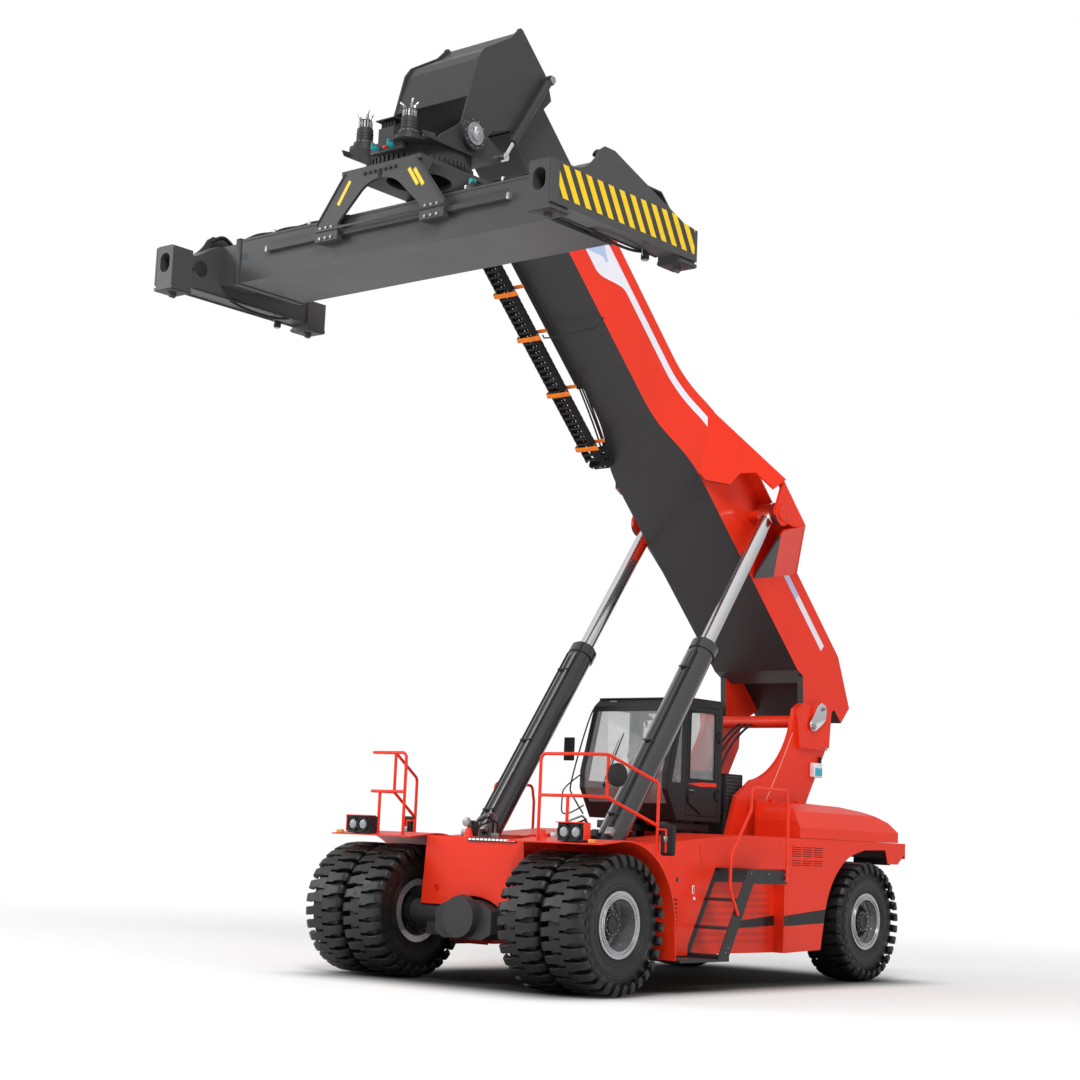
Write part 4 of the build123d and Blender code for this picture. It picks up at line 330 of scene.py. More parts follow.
def side_colours(coat):
    """Red, with the black stripe that rises towards the rear, and painted shade in the rows of small slots
    in the recess.
    """
    along = coat.y - front_axle.y
    side = abs(coat.facing((1, 0, 0))) > 0.9
    low = 0.705 + (along - 3.16) * 0.035
    high = 0.789 + (along - 3.16) * 0.085
    stripe = inside(coat, coat.z - low, high - coat.z, along - 3.05) * side
    # painted shade: the small slots in the recess are painted darker for the shade inside them
    row = (coat.z * 11.8) % 1.0
    column = (along * 26.0) % 1.0
    slots = inside(coat, along - 2.30, 3.91 - along, coat.z - 0.52, 1.19 - coat.z, row - 0.25, 0.75 - row,
                   column - 0.28, 0.72 - column)
    recess = (1.5 > abs(coat.x)) * side * slots
    return coat.mix(stripe | recess * 0.45, RED, grey(0.006))


def make_chrome():
    coat = Coat("ground_chrome", Metallic=1.0)
    streak = coat.noise(60.0, 3.0, 0.6, stretch=(1.0, 0.2, 0.2))
    return coat.put(Base_Color=coat.mix(streak * 0.4, rgb(0.72, 0.72, 0.73), rgb(0.50, 0.50, 0.52)),
                    Roughness=0.10 + streak * 0.12)


def make_rubber():
    coat = Coat("tyre_rubber", Specular_IOR_Level=0.40)
    drift = coat.noise(4.0, 4.0, 0.6)
    dust = coat.ramp(coat.noise(14.0, 5.0, 0.7), 0.45, 0.8)
    return coat.put(Base_Color=coat.mix(dust * 0.22, coat.mix(drift, grey(0.004), grey(0.009)),
                                        rgb(0.05, 0.049, 0.046)),
                    Roughness=0.42 + dust * 0.25, Normal=coat.bump(coat.noise(220.0, 3.0, 0.7), 0.25,
                            0.002))


def make_rim_silver():
    coat = Coat("rim_silver", Coat_Weight=0.1)
    drift = coat.noise(3.0, 3.0)
    grime = coat.ramp(coat.noise(12.0, 4.0, 0.6), 0.60, 0.85)
    along = abs(coat.y - front_axle.y) & abs(coat.y - rear_axle.y)
    high = coat.z - front_axle.z
    hub = ((coat.y > 1.0) * 0.034 + 0.0395) > (along * along + high * high)
    silver = coat.mix(drift, rgb(0.36, 0.36, 0.37), rgb(0.47, 0.47, 0.48))
    return coat.put(Base_Color=coat.mix(hub, coat.mix(grime * 0.2, silver, rgb(0.12, 0.11, 0.10)),
                                        rgb(0.014, 0.014, 0.015)),
                    Metallic=(0.75 - grime * 0.3) * (1 - hub), Roughness=0.26 + grime * 0.3,
                    Normal=coat.bump(coat.noise(90.0, 2.0), 0.1, 0.002))


def make_glass():
    coat = Coat("cab_glass", Roughness=0.04, IOR=1.45, Specular_IOR_Level=0.6)
    smear = coat.noise(3.0, 4.0, 0.6)
    return coat.put(Base_Color=coat.mix(smear, rgb(0.42, 0.47, 0.47), rgb(0.56, 0.60, 0.60)),
                    Alpha=0.20 + smear * 0.10)


def make_plastic(name, colour, roughness, grain):
    coat = Coat(name, Specular_IOR_Level=0.25)
    drift = coat.noise(6.0, 3.0)
    fine = coat.noise(grain, 2.0, 0.6)
    lighter = tuple(min(1.0, part * 1.6 + 0.006) for part in colour[:3]) + (1.0,)
    return coat.put(Base_Color=coat.mix(drift * 0.5, colour, lighter), Roughness=roughness + drift * 0.14,
                    Normal=coat.bump(fine, 0.15, 0.002))


def make_steel(name, colour, roughness):
    coat = Coat(name)
    drift = coat.noise(7.0, 4.0, 0.6)
    scuff = coat.ramp(coat.noise(34.0, 4.0, 0.7, stretch=(1, 1, 0.3)), 0.50, 0.75)
    lighter = tuple(min(1.0, part * 1.9) for part in colour[:3]) + (1.0,)
    return coat.put(Base_Color=coat.mix(scuff * 0.5, colour, lighter), Metallic=0.75 - drift * 0.2,
                    Roughness=roughness + scuff * 0.18, Normal=coat.bump(drift, 0.12, 0.003))


def make_cast():
    coat = Coat("counterweight_paint", Specular_IOR_Level=0.4)
    drift = coat.noise(2.0, 4.0)
    sand = coat.noise(70.0, 5.0, 0.75)
    return coat.put(Base_Color=coat.mix(drift * 0.6, rgb(0.055, 0.055, 0.058), grey(0.10)),
                    Roughness=0.55 + drift * 0.2, Normal=coat.bump(sand, 0.5, 0.006))


def make_cloth():
    coat = Coat("seat_cloth", Specular_IOR_Level=0.2)
    weave = coat.node("ShaderNodeTexWave", {"bands_direction": "X"}, {"Vector": coat.place, "Scale": 260.0},
                      output=1)
    cross = coat.node("ShaderNodeTexWave", {"bands_direction": "Y"}, {"Vector": coat.place, "Scale": 260.0},
                      output=1)
    knit = weave * cross
    return coat.put(Base_Color=coat.mix(knit * 0.8, rgb(0.018, 0.018, 0.020), rgb(0.055, 0.055, 0.060)),
                    Roughness=0.85 + knit * 0.1, Normal=coat.bump(knit, 0.4, 0.001))


def make_tread_plate():
    """Dark step plate with raised lozenges in two directions."""
    coat = Coat("tread_plate", Specular_IOR_Level=0.45)
    a = (coat.x + coat.y) * 24.0
    b = (coat.x - coat.y) * 24.0
    ridge = (abs((a % 1.0) - 0.5) * 3.2) & (abs((b % 1.0) - 0.5) * 1.1)
    lozenge = coat.ramp(ridge, 0.18, 0.34) * (coat.facing((0, 0, 1)) > 0.5)
    wear = coat.noise(9.0, 4.0, 0.7)
    return coat.put(Base_Color=coat.mix(wear * lozenge, rgb(0.014, 0.014, 0.015), rgb(0.075, 0.074, 0.072)),
                    Roughness=0.42 + wear * 0.2, Normal=coat.bump(lozenge, 0.6, 0.004))


def make_lens(name, colour, glow):
    coat = Coat(name, Roughness=0.12, Emission_Strength=glow)
    facets = abs(((coat.x * 60.0) % 1.0) - 0.5) + abs(((coat.z * 60.0) % 1.0) - 0.5)
    tint = coat.mix(facets, colour, tuple(part * 0.6 for part in colour[:3]) + (1.0,))
    return coat.put(Base_Color=tint, Emission_Color=tint, Normal=coat.bump(facets, 0.3, 0.003))


def make_perforated():
    coat = Coat("perforated_guard", Specular_IOR_Level=0.4)
    a = abs(((coat.y * 21.0) % 1.0) - 0.5)
    b = abs(((coat.z * 21.0) % 1.0) - 0.5)
    hole = 0.33 > (a | b)
    wear = coat.noise(8.0, 3.0)
    return coat.put(Base_Color=coat.mix(hole, coat.mix(wear, rgb(0.020, 0.020, 0.021), grey(0.045)),
                                        grey(0.004)),
                    Roughness=0.5 + hole * 0.4, Alpha=1 - hole)


paints = {
    "red": painted("red_paint", RED),
    "boom": painted("boom_paint", RED, colours=boom_colours),
    "sides": painted("side_paint", RED, colours=side_colours),
    "dark": painted("dark_paint", DARK, roughness=0.42, wear=grey(0.22), gloss=0.06),
    "nose": painted("nose_paint", rgb(0.040, 0.040, 0.042), roughness=0.40, wear=grey(0.20), gloss=0.10),
    "spreader": painted("spreader_paint", SPREADER_GREY, roughness=0.40, wear=grey(0.22), gloss=0.06),
    "hazard": painted("hazard_paint", SPREADER_GREY, roughness=0.38, wear=grey(0.22), gloss=0.08,
                      colours=hazard_colours),
    "beam": painted("beam_paint", SPREADER_GREY, roughness=0.40, wear=grey(0.22), gloss=0.06,
                    colours=beam_colours),
    "barrel": painted("barrel_paint", rgb(0.034, 0.034, 0.036), roughness=0.20, wear=grey(0.15), gloss=0.8),
    "yellow": painted("marking_yellow", rgb(0.84, 0.60, 0.05), roughness=0.38),
    "white": painted("badge_white", rgb(0.80, 0.82, 0.84), roughness=0.30),
    "blue": painted("badge_blue", rgb(0.05, 0.42, 0.62), roughness=0.30),
    "chrome": make_chrome(),
    "rubber": make_rubber(),
    "rim": make_rim_silver(),
    "glass": make_glass(),
    "plastic": make_plastic("black_plastic", rgb(0.010, 0.010, 0.011), 0.42, 240.0),
    "matt": make_plastic("matt_black", grey(0.012), 0.62, 160.0),
    "hose": make_plastic("hose_rubber", grey(0.014), 0.50, 320.0),
    "orange": make_plastic("orange_tie", rgb(0.80, 0.17, 0.004), 0.45, 120.0),
    "chair": make_plastic("chair_black", rgb(0.025, 0.025, 0.027), 0.55, 200.0),
    "steel": make_steel("bare_steel", rgb(0.30, 0.30, 0.31), 0.34),
    "lock": make_steel("lock_steel", rgb(0.075, 0.075, 0.078), 0.42),
    "hub": make_steel("hub_iron", rgb(0.040, 0.040, 0.042), 0.48),
    "cast": make_cast(),
    "cloth": make_cloth(),
    "tread": make_tread_plate(),
    "lens": make_lens("lamp_lens", rgb(0.34, 0.36, 0.38), 0.04),
    # the LED strip glows white of its own: painted light for the bright line along the deck's front edge
    "led": make_lens("led_strip", rgb(0.85, 0.86, 0.85), 0.35),
    "amber": make_lens("amber_lens", rgb(0.80, 0.25, 0.02), 0.1),
    "tail": make_lens("red_lens", rgb(0.60, 0.02, 0.01), 0.1),
    "teal": painted("valve_teal", rgb(0.01, 0.30, 0.32), roughness=0.35),
    "copper": make_steel("coil_copper", rgb(0.36, 0.17, 0.09), 0.38),
    # painted highlight: light red paint for the bright line that the tower's welded edge shows
    "pale": painted("weld_highlight_paint", rgb(0.86, 0.30, 0.20), roughness=0.22, gloss=0.6),
    "grey_hose": make_plastic("grey_hose", rgb(0.16, 0.16, 0.165), 0.45, 260.0),
    "screen": make_plastic("display_glass", rgb(0.010, 0.012, 0.016), 0.08, 60.0),
    "mirror": make_steel("mirror_face", rgb(0.60, 0.62, 0.64), 0.05),
    "guard": make_perforated(),
}

node_paint = {
    "dark": ("drive_axle", "steer_axle", "left_steering_knuckle", "right_steering_knuckle", "head_yoke",
             "damper_barrels", "engine_block"),
    "red": ("chassis_frame", "left_hood_cover", "right_hood_cover", "front_fenders", "handrails"),
    "boom": ("outer_boom",),
    "sides": ("tail_body", "side_bodies"),
    "nose": ("inner_boom",),
    "spreader": ("rotator_frame",),
    "beam": ("main_beam",),
    "hazard": ("left_end_beam", "right_end_beam"),
    "barrel": ("lift_barrels",),
    "chrome": ("lift_rods", "damper_rods"),
    "plastic": ("cab_shell", "cab_door", "work_lamps", "cab_controls"),
    "matt": ("energy_chain",),
    "glass": ("cab_glass",),
    "cloth": ("cab_seat",),
    "cast": ("counterweight",),
    "hose": ("tower_hoses",),
    "tread": ("access_stairs",),
    "rim": ("front_left_rims", "front_right_rims", "rear_left_rim", "rear_right_rim"),
    "rubber": ("front_left_tyres", "front_right_tyres", "rear_left_tyre", "rear_right_tyre"),
    "lock": ("front_left_twistlock", "front_right_twistlock", "rear_left_twistlock",
             "rear_right_twistlock"),
}
for paint, names in node_paint.items():
    for name in names:
        for slot in nodes[name].material_slots:
            slot.material = paints[paint]


def make_floor():
    """Pale floor with a painted shadow under the machine, that fades to plain white further out and keeps
    the cast shadow.
    """
    coat = Coat("pale_floor", Roughness=0.9, Specular_IOR_Level=0.1)
    # painted shadow: the floor's colour turns near black in a soft patch under the machine
    beside = 1 - coat.ramp(abs(coat.x), 1.50, 2.60)
    along = 1 - coat.ramp(abs(coat.y - 0.95), 3.20, 4.70)
    under = beside * along
    coat.put(Base_Color=coat.mix(under * 0.96, grey(0.90), grey(0.01)))
    tree = coat.tree
    paths = [node(tree, "ShaderNodeLightPath", output=index) for index in (0, 3, 6)]
    seen = (paths[0] | paths[1]) | paths[2]
    away = node(tree, "ShaderNodeVectorMath", {"operation": "LENGTH"}, {0: coat.place}, output=1)
    white = node(tree, "ShaderNodeEmission", sockets={"Color": grey(1), "Strength": 1.0})
    # the white share is left out where the shadow is painted
    share = seen * (coat.ramp(away, 5.0, 22.0) * 0.92 + 0.08) * (1 - under)
    shown = node(tree, "ShaderNodeMixShader",
                 sockets={0: share, 1: Value(tree, coat.shader.outputs[0]), 2: white})
    tree.links.new(shown.socket, tree.nodes["Material Output"].inputs["Surface"])
    return coat.material


def add_stage():
    bpy.ops.mesh.primitive_circle_add(vertices=96, radius=120, fill_type="NGON", location=(0, 0, -0.001))
    floor = bpy.context.object
    floor.name = "floor"
    floor.data.materials.append(make_floor())
    scene = bpy.context.scene
    world = bpy.data.worlds.new("studio")
    scene.world = world
    world.use_nodes = True
    tree = world.node_tree
    paths = [node(tree, "ShaderNodeLightPath", output=index) for index in (0, 3, 6)]
    seen = (paths[0] | paths[1] * 0.5) | paths[2]
    way = node(tree, "ShaderNodeTexCoord", output=0)
    high = node(tree, "ShaderNodeSeparateXYZ", sockets={0: way}, output=2) | 0.0
    sky = high * 0.80 + 0.15
    tree.links.new((seen + (1 - seen) * sky).socket, tree.nodes["Background"].inputs["Strength"])
    tree.nodes["Background"].inputs["Color"].default_value = grey(1)
    scene.view_settings.view_transform = "Standard"
    for name, place, aim, size, watts in (
            ("key_lamp", (14, -18, 22), (0, -1, 4), 8, 4500),
            ("side_lamp", (21, -3, 3.5), (0, 0, 3.5), 6, 600),
            ("fill_lamp", (-18, -16, 10), (0, -2, 5), 12, 2100)):
        add_lamp(name, place, aim, size, watts)


# ---------------------------------------------------------------- hand tools
def activate(piece):
    if bpy.context.mode != "OBJECT":
        bpy.ops.object.mode_set(mode="OBJECT")
    bpy.ops.object.select_all(action="DESELECT")
    piece.select_set(True)
    bpy.context.view_layer.objects.active = piece


def start(name, shape, **how):
    """Adds a primitive at its size and place and puts that place into its mesh."""
    bpy.ops.object.select_all(action="DESELECT")
    getattr(bpy.ops.mesh, f"primitive_{shape}_add")(**how)
    piece = bpy.context.object
    piece.name = name
    bpy.ops.object.transform_apply(location=True, rotation=True, scale=True)
    return piece


def choose(piece, test=None, kind="FACE"):
    """Selects the faces, or edges, whose middle and direction pass the test, and stays in edit mode."""
    activate(piece)
    bpy.ops.object.mode_set(mode="EDIT")
    bpy.ops.mesh.select_mode(type=kind)
    bpy.ops.mesh.select_all(action="SELECT" if test is None else "DESELECT")
    if test is None:
        return
    bpy.ops.object.mode_set(mode="OBJECT")
    mesh = piece.data
    if kind == "FACE":
        for face in mesh.polygons:
            face.select = bool(test(face.center, face.normal))
    else:
        for edge in mesh.edges:
            ends = [mesh.vertices[index].co for index in edge.vertices]
            edge.select = bool(test((ends[0] + ends[1]) / 2, (ends[1] - ends[0]).normalized()))
    bpy.ops.object.mode_set(mode="EDIT")


def extrude(way):
    bpy.ops.mesh.extrude_region_move(TRANSFORM_OT_translate={"value": way})


def inset(thickness):
    bpy.ops.mesh.inset(thickness=thickness)


def round_edges(width, segments):
    bpy.ops.mesh.bevel(offset=width, segments=segments, affect="EDGES")


def done(piece, paint=None, smooth=40):
    """Leaves edit mode, smooths the shallow edges and gives the finish."""
    activate(piece)
    bpy.ops.object.shade_smooth_by_angle(angle=radians(smooth))
    if paint:
        piece.data.materials.clear()
        piece.data.materials.append(paints[paint])
    return piece


def plate(name, low, high, bevel=0.004, paint="dark", segments=2):
    """A plate or box between two corners, with rounded edges."""
    low, high = Vector(low), Vector(high)
    piece = start(name, "cube", size=1, location=(low + high) / 2, scale=high - low)
    choose(piece, None, "EDGE")
    round_edges(bevel, segments)
    return done(piece, paint)


def round_bar(name, first, last, radius, sides=24, bevel=0.004, paint="dark"):
    """A bar between two points, with chamfered ends."""
    first, last = Vector(first), Vector(last)
    turn = (last - first).to_track_quat("Z", "Y").to_euler()
    piece = start(name, "cylinder", vertices=sides, radius=radius, depth=(last - first).length,
                  location=(first + last) / 2, rotation=turn)
    line = (last - first).normalized()
    choose(piece, lambda middle, way: abs(way.dot(line)) < 0.5, "EDGE")
    round_edges(bevel, 2)
    return done(piece, paint)


def twin(piece, place):
    """A copy of a piece with a mesh of its own, moved by a matrix."""
    copy = piece.copy()
    copy.data = piece.data.copy()
    copy.data.transform(place)
    bpy.context.scene.collection.objects.link(copy)
    return copy


def copied(master, name, places):
    """Copies of one modelled piece joined under a new name. The master goes."""
    made = [twin(master, place) for place in places]
    bpy.data.objects.remove(master)
    return joined(name, made)


def joined(name, parts):
    bpy.ops.object.select_all(action="DESELECT")
    for part in parts:
        part.select_set(True)
    bpy.context.view_layer.objects.active = parts[0]
    if len(parts) > 1:
        bpy.ops.object.join()
    parts[0].name = name
    return parts[0]


def tube(name, points, radius, paint="hose", smooth=True):
    """A pipe or hose along points."""
    curve = bpy.data.curves.new(name, "CURVE")
    curve.dimensions = "3D"
    line = curve.splines.new("NURBS" if smooth else "POLY")
    line.points.add(len(points) - 1)
    for point, spot in zip(line.points, points):
        point.co = (*spot, 1)
    if smooth:
        line.order_u = 3
        line.use_endpoint_u = True
    curve.bevel_depth = radius
    curve.bevel_resolution = 3
    curve.resolution_u = 8
    curve.use_fill_caps = True
    piece = bpy.data.objects.new(name, curve)
    bpy.context.scene.collection.objects.link(piece)
    curve.materials.append(paints[paint])
    return piece


def sheet_metal(name, outline, depth, facing, paint="dark", bevel=0.0):
    """A plate cut to an outline of points and thickened by depth along its facing."""
    piece = start(name, "circle", vertices=len(outline), radius=1, fill_type="NGON")
    for corner, spot in zip(piece.data.vertices, outline):
        corner.co = spot
    choose(piece)
    extrude(Vector(facing).normalized() * depth)
    choose(piece)
    bpy.ops.mesh.normals_make_consistent(inside=False)
    if bevel:
        choose(piece, None, "EDGE")
        round_edges(bevel, 2)
    return done(piece, paint)


def hex_bolt(radius=0.016, height=0.014, paint="steel"):
    """One hexagon bolt head on its washer, at the origin, facing up."""
    head = start("bolt", "cylinder", vertices=6, radius=radius, depth=height, location=(0, 0, height / 2))
    choose(head, lambda middle, normal: normal.z < -0.9)
    inset(-radius * 0.3)
    extrude((0, 0, -0.003))
    choose(head, lambda middle, normal: normal.z > 0.9)
    inset(radius * 0.25)
    extrude((0, 0, radius * 0.12))
    return done(head, paint, smooth=20)


def bolts(name, spots, facing, radius=0.016, paint="steel"):
    turn = Vector(facing).to_track_quat("Z", "Y").to_matrix().to_4x4()
    return copied(hex_bolt(radius, radius * 0.85, paint), name,
                  [Matrix.Translation(spot) @ turn for spot in spots])


# ---------------------------------------------------------------- tyres and wheels
tyre_radius = front_axle.z
BARS_A_ROW = 30


def tyre_section():
    """Half section of the tyre's skin from bead to crown: distance from its middle, radius."""
    return [(0.175, 0.335), (0.215, 0.36), (0.240, 0.43), (0.248, 0.53), (0.244, 0.60), (0.232, 0.665),
            (0.205, 0.715), (0.165, 0.722), (0.08, 0.732), (0.0, 0.734)]


def make_tyre():
    """One tyre about the X axis: a spun casing, a raised crown and two rows of shoulder bars."""
    half = tyre_section()
    section = [(-x, r) for x, r in half] + [(x, r) for x, r in reversed(half[:-1])]
    casing = start("casing", "circle", vertices=len(section), radius=1)
    for corner, (x, r) in zip(casing.data.vertices, section):
        corner.co = (x, 0, r)
    choose(casing)
    bpy.ops.mesh.spin(steps=90, angle=2 * pi, center=(0, 0, 0), axis=(1, 0, 0))
    choose(casing)
    bpy.ops.mesh.remove_doubles(threshold=0.0005)
    bpy.ops.mesh.normals_make_consistent(inside=False)
    done(casing, smooth=50)
    bar = start("bar", "cube", size=1, location=(0.045, 0, 0.754), scale=(0.09, 0.132, 0.060))
    for push, turn, squeeze in (((0.050, 0.006, 0.0), 1, 0.76), ((0.085, 0.012, -0.003), 5, 1.0),
                                ((0.040, 0.005, -0.012), 34, 0.97), ((0.014, 0.0, -0.045), 38, 0.88),
                                ((0.006, 0.0, -0.055), 8, 0.55)):
        face = max(bar.data.polygons, key=lambda f: f.center.x - f.center.z * 0.35)
        spot = face.center.copy()
        choose(bar, lambda middle, normal: (middle - spot).length < 0.001)
        extrude(push)
        moved = spot + Vector(push)
        bpy.ops.transform.rotate(value=-radians(turn), orient_axis="Y", center_override=moved)
        bpy.ops.transform.resize(value=(1, squeeze, 1), center_override=moved)
        bpy.ops.object.mode_set(mode="OBJECT")
    choose(bar, lambda middle, way: middle.z > 0.72 and middle.x > 0.05, "EDGE")
    round_edges(0.005, 1)
    done(bar)
    other = twin(bar, Matrix.Rotation(pi, 4, "Z"))
    left = copied(bar, "bars_left", [Matrix.Rotation(a, 4, "X") for a in around(BARS_A_ROW)])
    right = copied(other, "bars_right", [Matrix.Rotation(a, 4, "X") for a in around(BARS_A_ROW, 0.5)])
    rows = [casing, left, right]
    for side in (-1, 1):
        for radius, thick, wall in ((0.590, 0.006, 0.245), (0.560, 0.004, 0.2475), (0.455, 0.005, 0.242),
                                    (0.415, 0.005, 0.235),
                                    (0.392, 0.005, 0.228), (0.366, 0.009, 0.218)):
            ring = start("side_ring", "torus", major_radius=radius, minor_radius=thick, major_segments=72,
                         minor_segments=6, location=(side * wall, 0, 0), rotation=(0, pi / 2, 0))
            rows.append(done(ring))
    tyre = joined("tyre", rows)
    return done(tyre, "rubber", smooth=38)


def add_tyres():
    master = make_tyre()
    places = {
        "front_left_outer_tyre": (1.825, front_axle.y, "front_left_wheels", 0.1),
        "front_left_inner_tyre": (1.205, front_axle.y, "front_left_wheels", 0.2),
        "front_right_outer_tyre": (-1.825, front_axle.y, "front_right_wheels", 0.05),
        "front_right_inner_tyre": (-1.205, front_axle.y, "front_right_wheels", 0.15),
        "rear_left_road_tyre": (rear_axle.x, rear_axle.y, "rear_left_wheel", 0.0),
        "rear_right_road_tyre": (-rear_axle.x, rear_axle.y, "rear_right_wheel", 0.12),
    }
    for name, (x, y, body, turn) in places.items():
        flip = Matrix.Rotation(pi, 4, "Z") if x < 0 else Matrix.Identity(4)
        tyre = twin(master, Matrix.Translation((x, y, tyre_radius)) @ flip @ Matrix.Rotation(turn, 4, "X"))
        tyre.name = name
        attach(tyre, body)
        if "outer" in name:
            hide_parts(name.replace("outer_tyre", "tyres"))
        if "road" in name:
            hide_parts(name.replace("road_tyre", "tyre"))
    bpy.data.objects.remove(master)


def add_wheel_nuts():
    """Wheel nuts, rings on the rims, planetary hub covers with their bolts, and valves."""
    nut_circle, cover_circle = 0.237, 0.117
    for body, sign, y, face, hub in (
            ("front_left_wheels", 1, front_axle.y, 1.783, 1.925), ("front_right_wheels", -1, front_axle.y,
                    1.783, 1.925),
            ("rear_left_wheel", 1, rear_axle.y, 1.488, 1.530), ("rear_right_wheel", -1, rear_axle.y, 1.488,
                    1.530)):
        turns = around(24)
        nuts = bolts(f"{body}_nuts",
                     [(sign * face, y + nut_circle * cos(a), tyre_radius + nut_circle * sin(a))
                      for a in turns], (sign, 0, 0), 0.026)
        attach(nuts, body)
        rings = []
        for radius, thick, lift in ((0.296, 0.010, -0.002), (0.328, 0.008, 0.0), (0.262, 0.006, 0.0)):
            depth = face if radius < 0.28 else (2.062 if "front" in body else 1.617)
            ring = start("rim_ring", "torus", major_radius=radius, minor_radius=thick, major_segments=64,
                         minor_segments=8,
                         location=(sign * (depth + lift), y, tyre_radius), rotation=(0, pi / 2, 0))
            rings.append(done(ring, "rim"))
        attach(joined(f"{body}_rim_rings", rings), body)
        cover = start(f"{body}_hub_cover", "cylinder", vertices=40, radius=0.135, depth=0.03,
                      location=(sign * (hub + 0.015), y, tyre_radius), rotation=(0, pi / 2, 0))
        choose(cover, lambda middle, normal: normal.x * sign > 0.9)
        inset(0.035)
        extrude((sign * 0.022, 0, 0))
        inset(0.03)
        extrude((sign * -0.012, 0, 0))
        choose(cover, lambda middle, way: abs(way.x) < 0.5, "EDGE")
        round_edges(0.004, 2)
        done(cover, "hub")
        ring = around(12)
        small = bolts(f"{body}_cover_bolts",
                      [(sign * (hub + 0.029), y + cover_circle * cos(a),
                        tyre_radius + cover_circle * sin(a)) for a in ring],
                      (sign, 0, 0), 0.010)
        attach(cover, body)
        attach(small, body)
        valve = round_bar(f"{body}_valve", (sign * (face - 0.002), y + 0.262, tyre_radius + 0.04),
                          (sign * (face + 0.075), y + 0.282,
                           tyre_radius + 0.045), 0.006, 10, 0.001, "steel")
        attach(valve, body)


# ---------------------------------------------------------------- chassis front
def add_front():
    """Painted shade discs behind the tow holes, lamp strip, lugs, horn, headlamps, signal lamps and side
    mirrors.
    """
    for side, sign in SIDES:
        # painted shade: a matt black disc stands for the shade inside each tow hole
        shade = round_bar(f"{side}_tow_hole_shade", at(sign * 0.56, -0.117, 1.080),
                          at(sign * 0.56, -0.109, 1.080), 0.052, 28, 0.002, "matt")
        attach(shade, "chassis")
    y = station(-0.150)
    strip = plate("front_led_housing", (-0.09, y - 0.022, 1.640), (0.65, y, 1.684), 0.006, "matt")
    # the LEDs' white glow is painted light, standing in for the bright line along the deck's front edge
    leds = [plate("led", (-0.075 + k * 0.060, y - 0.026, 1.650), (-0.027 + k * 0.060, y - 0.019, 1.674),
                  0.003, "led", 1) for k in range(12)]
    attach(strip, "chassis")
    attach(joined("front_leds", leds), "chassis")
    for name, x, along in (("lug_right", -0.25, 0.02), ("lug_left", 0.90, 0.0)):
        lug = start(name, "cone", vertices=28, radius1=0.058, radius2=0.028, depth=0.10,
                    location=at(x, along, 1.69 + 0.05 + (0.014 if x > 0.7 else 0)))
        choose(lug, lambda middle, normal: normal.z > 0.9)
        inset(0.010)
        extrude((0, 0, -0.02))
        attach(done(lug, "red"), "chassis")
    horn = [round_bar("horn_body", at(-0.33, 0.22, 1.70), at(-0.33, 0.22, 1.86), 0.045, 24, 0.008, "matt"),
            round_bar("horn_neck", at(-0.33, 0.22, 1.86), at(-0.33, 0.10, 1.86), 0.022, 18, 0.004, "matt"),
            round_bar("horn_bell", at(-0.33, 0.10, 1.86), at(-0.33, 0.05, 1.86), 0.055, 28, 0.012, "steel")]
    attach(joined("horn", horn), "chassis")
    for side, sign in SIDES:
        front = station(-0.415)
        lamp_x, signal_x, mirror_x = sign * 1.64, sign * 1.95, sign * 2.03
        frames, lenses = [], []
        for x in (1.555, 1.725):
            frames.append(start("bezel", "cylinder", vertices=8, radius=0.092, depth=0.034,
                                location=(sign * x, front - 0.010, 1.785), rotation=(pi / 2, pi / 8, 0)))
            choose(frames[-1], lambda middle, normal: normal.y < -0.9)
            inset(0.016)
            extrude((0, 0.016, 0))
            done(frames[-1], "matt", 20)
            lenses.append(start("lens", "uv_sphere", segments=24, ring_count=10, radius=0.058,
                                location=(sign * x, front - 0.012, 1.785), scale=(1, 0.28, 1)))
            done(lenses[-1], "lens", 60)
        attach(joined(f"{side}_headlamp_bezels", frames), "chassis")
        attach(joined(f"{side}_headlamp_lenses", lenses), "chassis")
        hood = [plate("top", (lamp_x - 0.19, front - 0.035, 1.884), (lamp_x + 0.19, front + 0.10, 1.896),
                      0.004, "red"),
                plate("end", (sign * 1.838 - 0.008, front - 0.01, 1.70),
                      (sign * 1.838 + 0.008, front + 0.10, 1.892), 0.003, "red")]
        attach(joined(f"{side}_headlamp_bracket", hood), "chassis")
        ribs = [plate("rib", at(lamp_x - 0.165, -0.285, 1.71 + k * 0.035),
                      at(lamp_x + 0.165, -0.262, 1.722 + k * 0.035),
                      0.003, "matt", 1) for k in range(5)]
        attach(joined(f"{side}_headlamp_ribs", ribs), "chassis")
        signal = plate(f"{side}_signal_lamp", at(signal_x - 0.05, -0.430, 1.672),
                       at(signal_x + 0.05, -0.395, 1.715), 0.008, "amber")
        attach(signal, "chassis")
        housing = plate("housing", at(mirror_x - 0.095, 0.865, 1.565), at(mirror_x + 0.095, 0.930, 1.915),
                        0.028, "matt", 4)
        choose(housing, lambda middle, normal: normal.y < -0.9)
        inset(0.020)
        extrude((0, -0.008, 0))
        done(housing)
        arm = [round_bar("arm", at(sign * 1.90, 0.86, 1.86), at(mirror_x, 0.852, 1.86), 0.012, 14, 0.003,
                         "red"),
               round_bar("drop", at(mirror_x, 0.852, 1.865), at(mirror_x, 0.852, 1.60), 0.012, 14, 0.003,
                         "red"),
               plate("clamp", at(mirror_x - 0.022, 0.835, 1.725), at(mirror_x + 0.022, 0.862, 1.785), 0.004,
                     "steel")]
        glass = plate("glass", at(mirror_x - 0.078, 0.929, 1.585), at(mirror_x + 0.078, 0.934, 1.895),
                      0.002, "mirror")
        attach(joined(f"{side}_side_mirror", [housing, *arm, glass]), "chassis")
        if side == "left":
            add_round_mirror()


